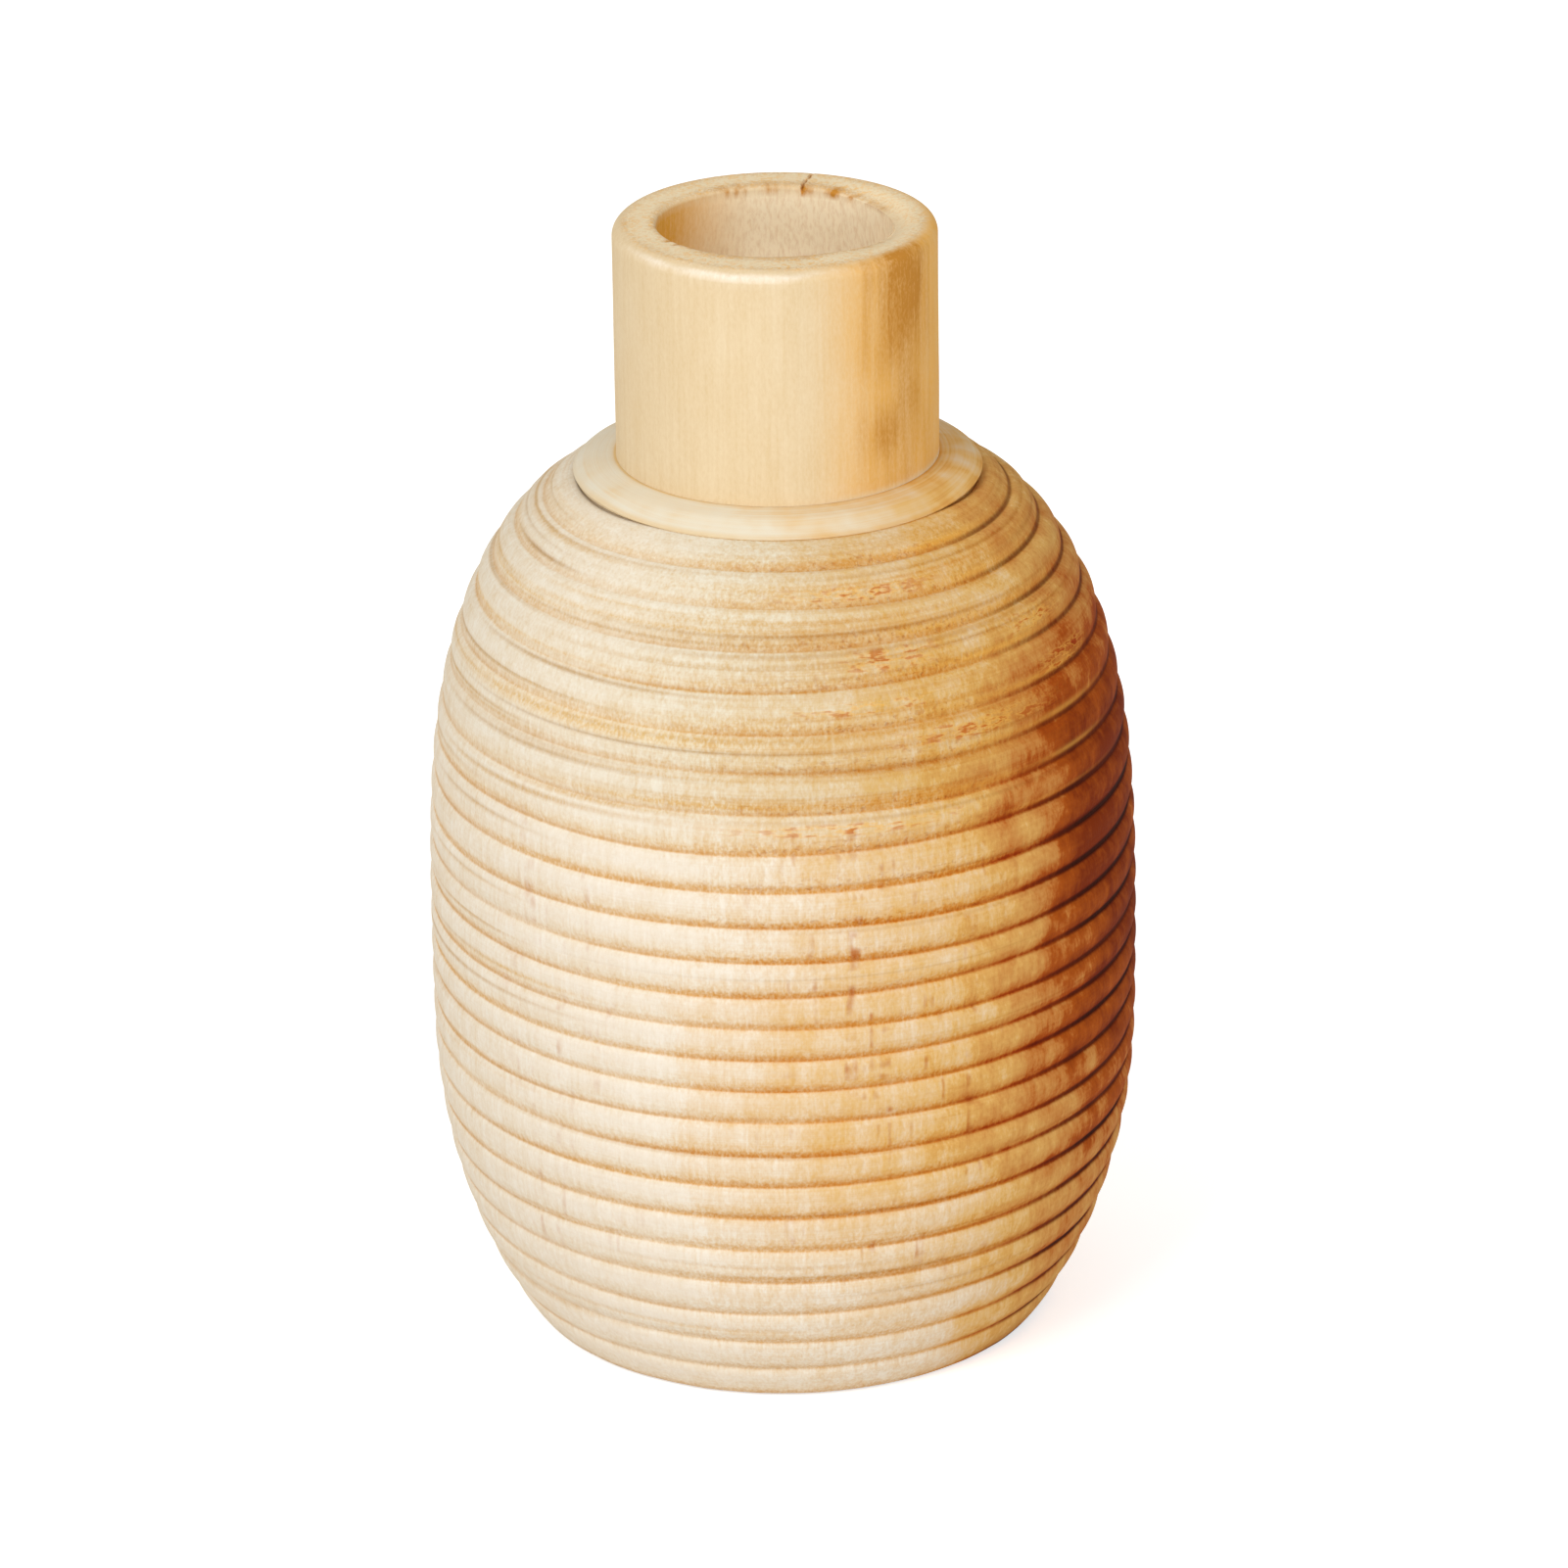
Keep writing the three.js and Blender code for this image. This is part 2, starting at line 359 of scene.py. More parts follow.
class BodyOutline:
    """The body's outline over the crests of its ribs, sampled so that a place is a share of its length."""

    SAMPLES = 4001

    def __init__(self, body):
        self.base = LOWER_LOW.z
        self.height = UPPER_HIGH.z - LOWER_LOW.z
        self.belly_radius = LOWER_HIGH.x
        self.belly_height = body.belly_height
        self.foot_radius = body.foot_radius
        self.shoulder_radius = COLLAR_HIGH.x - body.collar_overhang
        self.rib_count = body.rib_count
        self.heights = self.height * np.sin(np.linspace(0, math.pi / 2, self.SAMPLES))
        self.radii = self.radius(self.heights)
        steps = np.hypot(np.diff(self.heights), np.diff(self.radii))
        self.lengths = np.concatenate([[0], np.cumsum(steps)])
        self.joint = self.nearest_groove(self.base + body.belly_height + body.joint_above_belly)

    def radius(self, height):
        """The belly's radius, falling to the shoulder's above it and to the foot's below it."""
        above = (height - self.belly_height) / (self.height - self.belly_height)
        below = (self.belly_height - height) / self.belly_height
        upper = falling(above, SHOULDER_START, SHOULDER_TURN)
        lower = falling(below, FOOT_START, FOOT_TURN)
        to_shoulder = self.shoulder_radius + (self.belly_radius - self.shoulder_radius) * upper
        to_foot = self.foot_radius + (self.belly_radius - self.foot_radius) * lower
        return np.where(height > self.belly_height, to_shoulder, to_foot)

    def surface(self, groove, depth):
        """Radius and height at a place counted in grooves from the shoulder, cut in by a depth.

        The spacing is even with a slow drift of three half waves. The cut is square to the outline.
        """
        even = groove / self.rib_count
        drift = (
            SLOW_DRIFT * np.sin(math.pi * even)
            + END_DRIFT * np.sin(2 * math.pi * even)
            + MIDDLE_DRIFT * np.sin(3 * math.pi * even)
        )
        along = (1 - even - drift) * self.lengths[-1]
        height = np.interp(along, self.lengths, self.heights)
        rise = np.interp(along, self.lengths, np.gradient(self.heights, self.lengths))
        widen = np.interp(along, self.lengths, np.gradient(self.radii, self.lengths))
        return self.radius(height) - depth * rise, self.base + height + depth * widen

    def nearest_groove(self, wanted):
        """The groove nearest to a wanted height, where the halves of the body meet."""
        grooves = np.arange(1, self.rib_count)
        heights = self.surface(grooves.astype(float), 0.0)[1]
        return int(grooves[np.argmin(np.abs(heights - wanted))])


def rib_rows(first, last, rows_a_rib):
    """Places in ribs from one groove to another, set closer together beside each groove by a sine."""
    crowding = 0.085
    even = np.linspace(first, last, abs(last - first) * rows_a_rib + 1)
    return even - crowding * np.sin(2 * math.pi * even)


def bead_cut(body, place, turn):
    """Depth of the surface below the crest at a place in ribs and a turn.

    Each rib is a bead whose crest lies above its middle: it rises steeply from the groove above, and runs
    down gently to the groove below, as |2v^skew - 1|^squareness, with a rounded bottom. The depth of a
    groove varies slowly round the body and is least on the front, and the beads are rounder on the right.
    The lowest bead stays full down to the edge of the foot.
    """
    nearest = np.round(place)
    lowest = (place > body.rib_count - 0.5) & (place <= body.rib_count)
    side = np.where(lowest, 0, np.abs(2 * (place % 1) ** BEAD_SKEW - 1))
    right, scraped_left = near(turn, *RIGHT_FLANK), near(turn, -60, 60)
    front = np.where(nearest == 0, between(turn, *COLLAR_FRONT), near(turn, -5, 80))
    share = np.interp(nearest, np.arange(len(FRONT_GROOVES)), FRONT_GROOVES)
    uneven = 0.91 + 0.09 * ripple(turn, nearest, 9, 1) + 0.25 * right - 0.22 * scraped_left
    squareness = BEAD_SQUARENESS - 0.7 * right + 1.4 * front * (1 - eased(place, 4, 3))
    bead = side ** squareness
    bead = np.where(bead > BOTTOM_START, BOTTOM_START + BOTTOM_SLOPE * (bead - BOTTOM_START), bead)
    return body.rib_depth * uneven * (1 - front * (1 - share)) * bead


def tool_lines(place, turn, rib_count):
    """Depth of the lines that the tool left beside the grooves, and their shares of golden and of dark
    painted shade.

    The listed lines are joined by faint ones at random places, more of them on the shoulder. Across a line
    each amount falls off as exp(-(distance / width)^2), and along it to each side of its strongest place.
    """
    random = np.random.default_rng(SEED + 50)
    lines = list(TOOL_LINES)
    for number in range(FAINT_LINES):
        span = FAINT_SHOULDER_RIBS if number % 2 else rib_count
        where, degrees = random.uniform(0.15, span - 0.15), random.uniform(-180, 180)
        half_width, width = random.uniform(20, 80), random.uniform(0.3, 0.7)
        depth, golden, dark = random.uniform(0.03, 0.16), random.uniform(0, 0.8), random.uniform(0, 0.4)
        lines.append((where, degrees, half_width, width, depth, golden, dark))
    totals = np.zeros((3, *np.broadcast_shapes(place.shape, turn.shape)))
    for where, degrees, half_width, width, depth, golden, dark in lines:
        away = (place - where) * RIB_PITCH / (width * MM)
        amount = np.exp(-away * away) * near(turn, degrees, half_width)
        totals += amount * np.array([depth * MM, golden, dark])[:, None, None]
    return totals


def painted_shade(turn, rise):
    """How deep the painted shade is, from 0 for bare wood to 1, at a turn and a share of the body's height.

    Painted shade and shadow stand for the light that falls off to the right. A golden tint grows slowly from
    an onset near the front, with a small step at 19 degrees to the left below the shoulder, and is paler
    above the foot. It deepens into brown beyond an edge on the right flank, and both fade towards the back.
    The brown is weaker at the shoulder and at the foot.
    """
    right = degrees_right(turn)
    degrees = right + 4 * ripple(turn, rise * 25, 70, 4) + 4 * ripple(turn, rise * 25, 26, 7)

    onset = -24 - 12 * eased(rise, 0.6, 0.2)
    golden = 0.43 * np.clip((degrees - onset) / (40 - onset), 0, 1) ** 1.2
    step = eased(right, -19, 3) * (1 - 0.8 * eased(right, 0, 25)) * eased(rise, 0.60, -0.12)
    pale_foot = (1 - eased(rise, 0, 0.4)) * (1 - eased(degrees, 21, 35))
    golden = (golden + 0.10 * step) * (1 - 0.74 * pale_foot) * (1 - 0.16 * eased(rise, 0.84, 0.1))

    deep_shade = eased(rise, 0, 0.52) * (1 - 0.7 * eased(rise, 0.68, 0.28))
    edge = 34 + 3.5 * eased(rise, 0.53, -0.15) - 3 * bump(rise, 0.76, 0.13)
    brown = deep_shade * (0.38 * eased(degrees, edge, 28) + 0.06 * np.clip((degrees - 50) / 25, 0, 1))

    fading = np.clip((175 - degrees) / 85, 0, 1)
    uneven = 1 + 0.10 * ripple(turn, rise * 9, 14, 5) + 0.08 * ripple(turn, rise * 30, 50, 6)
    return np.clip((golden + brown) * fading * uneven, 0, 1)


# Sections and pieces


def quarter_round(radius, height, size, start, steps):
    """Points of a quarter circle about a centre, counterclockwise from a start in degrees."""
    angles = np.radians(np.linspace(start, start + 90, steps))
    return radius + size * np.cos(angles), height + size * np.sin(angles)


def straight(start, end, steps):
    """Points of a straight run of the section, with both of its ends."""
    return np.linspace(start[0], end[0], steps), np.linspace(start[1], end[1], steps)


def joined(*runs):
    """One section from several runs of radii and heights, without points that repeat the one before.

    The point before the first is the last, because a section closes on itself.
    """
    radii = np.concatenate([run[0] for run in runs])
    heights = np.concatenate([run[1] for run in runs])
    fresh = np.hypot(radii - np.roll(radii, 1), heights - np.roll(heights, 1)) > 0.001 * MM
    return radii[fresh], heights[fresh]


def widened(run, columns):
    """A run of the section repeated round all columns."""
    return np.repeat(run[0][:, None], columns, 1), np.repeat(run[1][:, None], columns, 1)


def ring_points(radii, heights):
    """The points (r cos a, r sin a, z) of a grid of radii and heights, one ring of columns after another."""
    angles = 2 * math.pi * turns(radii.shape[1])
    return np.stack([radii * np.cos(angles), radii * np.sin(angles), heights], axis=-1).reshape(-1, 3)


def ring_faces(rows, columns, bands):
    """Four-sided faces in a number of bands, each between a row and the next, or the last and the first."""
    row, column = np.meshgrid(np.arange(bands), np.arange(columns), indexing="ij")
    here, above, beyond = row * columns, (row + 1) % rows * columns, (column + 1) % columns
    faces = np.stack([here + column, here + beyond, above + beyond, above + column], axis=-1)
    return faces.reshape(-1, 4).tolist()


def turned_piece(name, node, radii, heights, material, attributes=None):
    """Makes a closed piece from radii and heights on a grid of section rows and columns round the axis.

    The rows close on themselves, up the outside and down the inside, so the faces point outwards.
    """
    rows, columns = radii.shape
    faces = ring_faces(rows, columns, rows)
    finished_piece(name, node, ring_points(radii, heights), faces, material, attributes)


def turned_disc(name, node, slot, radii, heights, material, columns):
    """Makes a closed disc: its section runs from the axis below, out, up and back to the axis above."""
    rings = ring_points(*widened((radii[1:-1], heights[1:-1]), columns))
    points = np.concatenate([rings, [[0, 0, heights[0]], [0, 0, heights[-1]]]])
    rows = len(radii) - 2
    around = np.arange(columns)
    following = (around + 1) % columns
    low_pole, high_pole, top = rows * columns, rows * columns + 1, (rows - 1) * columns
    below = np.stack([np.full(columns, low_pole), following, around], axis=-1)
    over = np.stack([np.full(columns, high_pole), top + around, top + following], axis=-1)
    faces = [*ring_faces(rows, columns, rows - 1), *below.tolist(), *over.tolist()]
    finished_piece(name, node, points, faces, material)


def finished_piece(name, node, points, faces, material, attributes=None):
    """Puts points and faces in a mesh, gives it its attributes and material, and hangs it on the frame."""
    mesh = bpy.data.meshes.new(name)
    mesh.from_pydata(points, [], faces)
    for key, values in (attributes or {}).items():
        layer = mesh.attributes.new(key, "FLOAT", "POINT")
        layer.data.foreach_set("value", np.ascontiguousarray(values, dtype=np.float32).ravel())
    mesh.polygons.foreach_set("use_smooth", np.ones(len(mesh.polygons), dtype=bool))
    mesh.set_sharp_from_angle(angle=SHARP_EDGE)
    mesh.materials.append(material)
    mesh.validate()
    piece = bpy.data.objects.new(name, mesh)
    bpy.context.scene.collection.objects.link(piece)
    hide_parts(node)
    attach(piece, "root")


# Materials

# Sockets of a Mix node by number: its factor, its two values, its two colours and the mixed colour

FACTOR, VALUE, OTHER, FIRST, SECOND, MIXED = 0, 2, 3, 6, 7, 2


def add(tree, kind, inputs=None, **settings):
    """Adds a shader node, sets its properties, sets or links its inputs, and gives its outputs."""
    node = tree.nodes.new("ShaderNode" + kind)
    for name, value in settings.items():
        setattr(node, name, value)
    for key, value in (inputs or {}).items():
        if isinstance(value, bpy.types.NodeSocket):
            tree.links.new(value, node.inputs[key])
        else:
            node.inputs[key].default_value = value
    return node.outputs


def new_material(name):
    """An empty material and its node tree."""
    material = bpy.data.materials.new(name)
    material.use_nodes = True
    material.node_tree.nodes.clear()
    return material, material.node_tree


def stretched_noise(tree, across, along, detail, offset=0.0):
    """Noise on object coordinates whose patches are so wide across the grain and so long up the piece."""
    place = add(tree, "TexCoord")["Object"]
    scale = (1 / across, 1 / across, 1 / along)
    mapped = add(tree, "Mapping", {"Vector": place, "Location": (offset, offset, offset), "Scale": scale})[0]
    return add(tree, "TexNoise", {"Vector": mapped, "Scale": 1.0, "Detail": detail, "Roughness": 0.6})[0]


def grain_marks(tree, across, streak, along):
    """Upright marks of one width, 1 inside a mark and 0 outside, that stand in line above one another.

    They are long upright streaks of noise, broken up by a second noise into marks of one length.
    """
    streaks = stretched_noise(tree, across, streak, 1.0, 3.0)
    breaks = stretched_noise(tree, 9 * MM, along, 1.0, 6.0)
    narrow = add(tree, "MapRange", {"Value": streaks, "From Min": 0.57, "From Max": 0.70})[0]
    short = add(tree, "MapRange", {"Value": breaks, "From Min": 0.47, "From Max": 0.66})[0]
    return add(tree, "Math", {0: narrow, 1: short}, operation="MULTIPLY")[0]


def flakes(tree, across, along):
    """Torn flakes that lie along the ribs, 1 inside a flake, and the pale crescents that border them."""
    noise = stretched_noise(tree, across, along, 2.0, 8.0)
    inside = add(tree, "MapRange", {"Value": noise, "From Min": 0.54, "From Max": 0.62})[0]
    rising = add(tree, "MapRange", {"Value": noise, "From Min": 0.47, "From Max": 0.51})[0]
    crescents = add(tree, "Math", {0: rising, 1: inside}, operation="SUBTRACT", use_clamp=True)[0]
    return inside, crescents


def tool_marks(tree, spacing):
    """Fine rings that the tool left: noise that runs quickly along the section and slowly round it."""
    slowly = 9.0
    place = add(tree, "Attribute", attribute_name="section")["Fac"]
    split = add(tree, "SeparateXYZ", {"Vector": add(tree, "TexCoord")["Object"]})
    scaled = {
        axis: add(tree, "Math", {0: value, 1: scale}, operation="MULTIPLY")[0]
        for axis, (value, scale) in enumerate(((split[0], slowly), (split[1], slowly), (place, 1 / spacing)))
    }
    where = add(tree, "CombineXYZ", scaled)[0]
    return add(tree, "TexNoise", {"Vector": where, "Scale": 1.0, "Detail": 3.0, "Roughness": 0.7})[0]


def growth_rings(tree, radian, distortion, detail_scale, shift=(0.0, 0.0, 0.0)):
    """Growth rings round an upright pith, given the length of one radian of their wave.

    A ring wave of scale 1 runs through 20 radians in a metre.
    """
    place = add(tree, "Mapping", {"Vector": add(tree, "TexCoord")["Object"], "Location": shift})[0]
    inputs = {
        "Vector": place, "Scale": 1 / (20 * radian), "Distortion": distortion,
        "Detail": 2.0, "Detail Scale": detail_scale,
    }
    return add(tree, "TexWave", inputs, wave_type="RINGS", rings_direction="Z")["Fac"]


def blended(tree, first, *others):
    """A first pattern with others mixed into it, one after another, each by its share."""
    for share, pattern in others:
        first = add(tree, "Mix", {FACTOR: share, VALUE: first, OTHER: pattern}, data_type="FLOAT")[0]
    return first


def turning(tree, pattern, low, high, first, second):
    """A first colour that turns into a second one as a pattern goes from low to high."""
    amount = add(tree, "MapRange", {"Value": pattern, "From Min": low, "From Max": high})[0]
    return add(tree, "Mix", {FACTOR: amount, FIRST: first, SECOND: second}, data_type="RGBA")[MIXED]


def wood_surface(tree, base, figure, smoothest, roughest, height, bump_height):
    """Bare sanded wood: no metal, an IOR of 1.5, a weak and wide gloss, and a fine relief."""
    roughness = add(tree, "MapRange", {"Value": figure, "To Min": smoothest, "To Max": roughest})[0]
    relief = add(tree, "Bump", {"Height": height, "Strength": 1.0, "Distance": bump_height})[0]
    shader = add(tree, "BsdfPrincipled", {
        "Base Color": base, "Roughness": roughness, "Normal": relief, "IOR": 1.5, "Specular IOR Level": 0.08,
    })[0]
    add(tree, "OutputMaterial", {"Surface": shader})


def darkened(tree, wood, figure, mottle, colours):
    """Paints shade: turns pale wood to honey, cinnamon and umber as the painted shade deepens, unevenly by
    the figure.
    """
    shade_share = add(tree, "Attribute", attribute_name="painted_shade")["Fac"]
    uneven = {"Value": mottle, "From Min": 0.3, "From Max": 0.7, "To Min": 0.87, "To Max": 1.13}
    blotches = add(tree, "MapRange", uneven)[0]
    shade_share = add(tree, "Math", {0: shade_share, 1: blotches}, operation="MULTIPLY")[0]
    shifted = add(tree, "Math", {0: figure, 1: 0.5}, operation="SUBTRACT")[0]
    shade_share = add(tree, "Math", {0: shifted, 1: 0.6, 2: shade_share}, operation="MULTIPLY_ADD")[0]
    wood = turning(tree, shade_share, 0.05, 0.40, wood, colours.honey)
    wood = turning(tree, shade_share, 0.36, 0.70, wood, colours.cinnamon)
    return turning(tree, shade_share, 0.62, 0.95, wood, colours.umber)


def layered(tree, wood, colours, layers):
    """Lays tints over the wood, one after another.

    A layer names the attribute that says where it lies, the pattern that breaks it up, the range of the
    pattern that counts, the layer's share at each end of that range, its colour and how it is blended.
    """
    for name, pattern, (low, high), (least, most), tint, blend in layers:
        where = add(tree, "Attribute", attribute_name=name)["Fac"]
        spread = {"Value": pattern, "From Min": low, "From Max": high, "To Min": least, "To Max": most}
        amount = add(tree, "MapRange", spread)[0]
        amount = add(tree, "Math", {0: where, 1: amount}, operation="MULTIPLY", use_clamp=True)[0]
        tints = {FACTOR: amount, FIRST: wood, SECOND: getattr(colours, tint)}
        wood = add(tree, "Mix", tints, data_type="RGBA", blend_type=blend)[MIXED]
    return wood


def body_wood(colours):
    """Pale hardwood, turned with a scraper and left bare.

    To the eye it is matte and creamy, with fuzzy upright grain and short brown marks. Painted shade dulls the
    shoulder, turns the right flank honey to dark brown and each rib golden low down and in its groove, and
    painted highlights whiten the ribs' upper part on the left and yellow their edges on the right shoulder.
    """
    material, tree = new_material("bare_turned_hardwood")
    grain = stretched_noise(tree, 1.3 * MM, 16 * MM, 4.0)
    mottle = stretched_noise(tree, 7 * MM, 9 * MM, 3.0, 5.0)
    fuzz = stretched_noise(tree, 0.7 * MM, 1.2 * MM, 3.0, 9.0)
    rings = tool_marks(tree, 0.5 * MM)

    figure = blended(tree, grain, (0.4, mottle), (0.35, fuzz), (0.14, rings))
    wood = turning(tree, figure, 0.40, 0.64, colours.sapwood, colours.sapwood_streak)
    # Painted shade: honey to umber, deepest on the right flank
    wood = darkened(tree, wood, figure, mottle, colours)

    marks = grain_marks(tree, 3.0 * MM, 40 * MM, 4.5 * MM)
    chips, crescents = flakes(tree, 4.6 * MM, 1.2 * MM)
    bands = tool_marks(tree, 1.6 * MM)
    torn = stretched_noise(tree, 1.5 * MM, 1.1 * MM, 1.0, 12.0)
    specks = add(tree, "MapRange", {"Value": torn, "From Min": 0.56, "From Max": 0.72})[0]
    whole, gritty = (0.0, 1.0), (0.38, 0.62)
    wood = layered(tree, wood, colours, (
        # Painted shade that dulls the shoulder
        ("shoulder_shade", figure, whole, (0.8, 1.0), "shoulder_shade", "MULTIPLY"),
        ("banding", bands, (0.46, 0.68), (0.0, 0.5), "banding", "MULTIPLY"),
        # Painted highlight: a whitish sheen on the upper part of the ribs on the left
        ("sheen", figure, whole, (0.30, 0.50), "sheen", "MIX"),
        # Painted shade: golden on the lower part of each rib and in the tool lines
        ("golden_edge_shade", fuzz, gritty, (0.5, 1.15), "golden_edge_shade", "MULTIPLY"),
        # Painted highlight: a yellow glint on the ribs' lower edges on the right shoulder
        ("glint", figure, whole, (0.4, 0.9), "glint", "MIX"),
        ("specks", specks, whole, (0.0, 0.6), "speck", "MULTIPLY"),
        ("marks", marks, whole, (0.0, 1.0), "mark", "MULTIPLY"),
        ("chips", crescents, whole, (0.0, 0.45), "glint", "MIX"),
        ("chips", chips, whole, (0.0, 0.9), "chip", "MULTIPLY"),
        # Painted shade in and above the grooves: a golden band, a line at the bottom, nearly black on the
        # right
        ("band", fuzz, gritty, (0.6, 1.15), "groove_band", "MULTIPLY"),
        ("groove_line", figure, whole, (0.7, 1.0), "groove", "MULTIPLY"),
        ("black_line", figure, whole, (0.8, 1.0), "black_line", "MIX"),
    ))

    where = add(tree, "Attribute", attribute_name="specks")["Fac"]
    pits = add(tree, "Math", {0: specks, 1: where}, operation="MULTIPLY")[0]
    relief = add(tree, "Math", {0: pits, 1: -0.5, 2: figure}, operation="MULTIPLY_ADD")[0]
    wood_surface(tree, wood, figure, 0.62, 0.86, relief, 0.4 * MM)
    return material


def neck_wood(colours):
    """Pale hardwood, turned and sanded smooth.

    To the eye it is creamy yellow with fine upright lines, a speckled rim, a brown figure down its right side
    and a rougher bore, darkened by its pores. Painted shade turns its right side and the bore's left wall
    golden, painted light lightens the rim's flat top and the bore's wood, and a painted highlight the rim's
    front edge.
    """
    material, tree = new_material("bare_sanded_hardwood")
    grain = stretched_noise(tree, 1.2 * MM, 34 * MM, 3.0, 2.0)
    mottle = stretched_noise(tree, 8 * MM, 22 * MM, 2.0, 7.0)
    fuzz = stretched_noise(tree, 0.6 * MM, 1.3 * MM, 3.0, 4.0)
    growth = growth_rings(tree, 1.7 * MM, 1.2, 2.0)

    figure = blended(tree, grain, (0.4, mottle), (0.4, fuzz), (0.12, growth))
    wood = turning(tree, figure, 0.36, 0.68, colours.neck, colours.neck_streak)

    rings = blended(tree, growth, (0.7, fuzz))
    pores = stretched_noise(tree, 0.8 * MM, 2.6 * MM, 4.0, 10.0)
    specks = stretched_noise(tree, 1.1 * MM, 1.1 * MM, 2.0, 15.0)
    wood = layered(tree, wood, colours, (
        # Painted light: the bore's wood is painted near white
        ("bore", figure, (0.40, 0.60), (0.95, 1.0), "bore", "MIX"),
        # Painted light on the rim's flat top
        ("rim", figure, (0.35, 0.65), (1.2, 0.7), "rim", "MIX"),
        ("end_grain", rings, (0.42, 0.66), (0.0, 0.45), "stain_and_shade", "MIX"),
        ("end_grain", specks, (0.47, 0.64), (0.0, 0.55), "neck_gold", "MIX"),
        # Rubbed pale edge with a painted highlight on the rim's front
        ("worn", figure, (0.30, 0.65), (1.0, 0.4), "worn", "MIX"),
        ("pores", pores, (0.44, 0.75), (0.0, 0.33), "stain_and_shade", "MIX"),
        # Painted shade: golden down the neck's right side and on the bore's shaded left wall
        ("golden", figure, (0.35, 0.65), (0.7, 1.2), "neck_gold", "MIX"),
        # Brown figure and torn grain, with painted shade on the bore's left wall and the front inner edge
        ("stain_and_shade", figure, (0.38, 0.63), (0.40, 1.35), "stain_and_shade", "MIX"),
    ))
    wood_surface(tree, wood, figure, 0.55, 0.8, figure, 0.16 * MM)
    return material


def collar_wood(colours):
    """The collar's pale hardwood: smooth, matte and creamy, with faint rings left by the tool."""
    material, tree = new_material("bare_turned_hardwood_collar")
    rings = tool_marks(tree, 0.7 * MM)
    mottle = stretched_noise(tree, 10 * MM, 10 * MM, 2.0, 1.0)
    figure = blended(tree, rings, (0.5, mottle))
    wood = turning(tree, figure, 0.35, 1.0, colours.collar, colours.neck_streak)
    # Painted shade deepening to the right, as on the body
    wood = darkened(tree, wood, figure, mottle, colours)
    # Painted shade: golden under the collar's outer edge and in the crease at the neck's root
    edge = add(tree, "Attribute", attribute_name="golden_edge_shade")["Fac"]
    tints = {FACTOR: edge, FIRST: wood, SECOND: colours.golden_edge_shade}
    wood = add(tree, "Mix", tints, data_type="RGBA", blend_type="MULTIPLY")[MIXED]
    wood_surface(tree, wood, figure, 0.6, 0.82, figure, 0.2 * MM)
    return material


def plug_wood(colours):
    """Sawn and sanded end grain: growth rings round a pith beside the axis, and open pores."""
    material, tree = new_material("sanded_end_grain")
    growth = growth_rings(tree, 2.6 * MM, 1.5, 1.0, (18 * MM, 9 * MM, 0))
    pores = stretched_noise(tree, 0.6 * MM, 6 * MM, 2.0)
    figure = blended(tree, growth, (0.5, pores))
    wood = turning(tree, figure, 0.0, 1.0, colours.plug, colours.cinnamon)
    wood_surface(tree, wood, pores, 0.7, 0.9, figure, 0.15 * MM)
    return material


def pressed_felt(colours):
    """Pressed wool felt: matte brown with a fuzzy, mottled nap and a weak sheen."""
    nap_light = 1.5
    material, tree = new_material("pressed_wool_felt")
    nap = stretched_noise(tree, 0.5 * MM, 0.5 * MM, 4.0)
    light = tuple(nap_light * part for part in colours.felt[:3]) + (1.0,)
    base = add(tree, "Mix", {FACTOR: nap, FIRST: colours.felt, SECOND: light}, data_type="RGBA")[MIXED]
    relief = add(tree, "Bump", {"Height": nap, "Distance": 0.3 * MM})[0]
    shader = add(tree, "BsdfPrincipled", {
        "Base Color": base, "Roughness": 0.95, "Normal": relief,
        "Sheen Weight": 0.3, "Specular IOR Level": 0.1,
    })[0]
    add(tree, "OutputMaterial", {"Surface": shader})
    return material


def pale_floor(colours):
    """A plain matte floor. The camera sees it lifted to white, and it keeps the vase's shadow."""
    lift = 0.55
    material, tree = new_material("plain_pale_floor")
    matte = add(tree, "BsdfDiffuse", {"Color": colours.floor})[0]
    glow = add(tree, "Emission", {"Color": (1.0, 1.0, 1.0, 1.0), "Strength": lift})[0]
    lifted = add(tree, "AddShader", {0: matte, 1: glow})[0]
    seen = add(tree, "LightPath")["Is Camera Ray"]
    mixed = add(tree, "MixShader", {0: seen, 1: matte, 2: lifted})[0]
    add(tree, "OutputMaterial", {"Surface": mixed})
    return material


# Neck


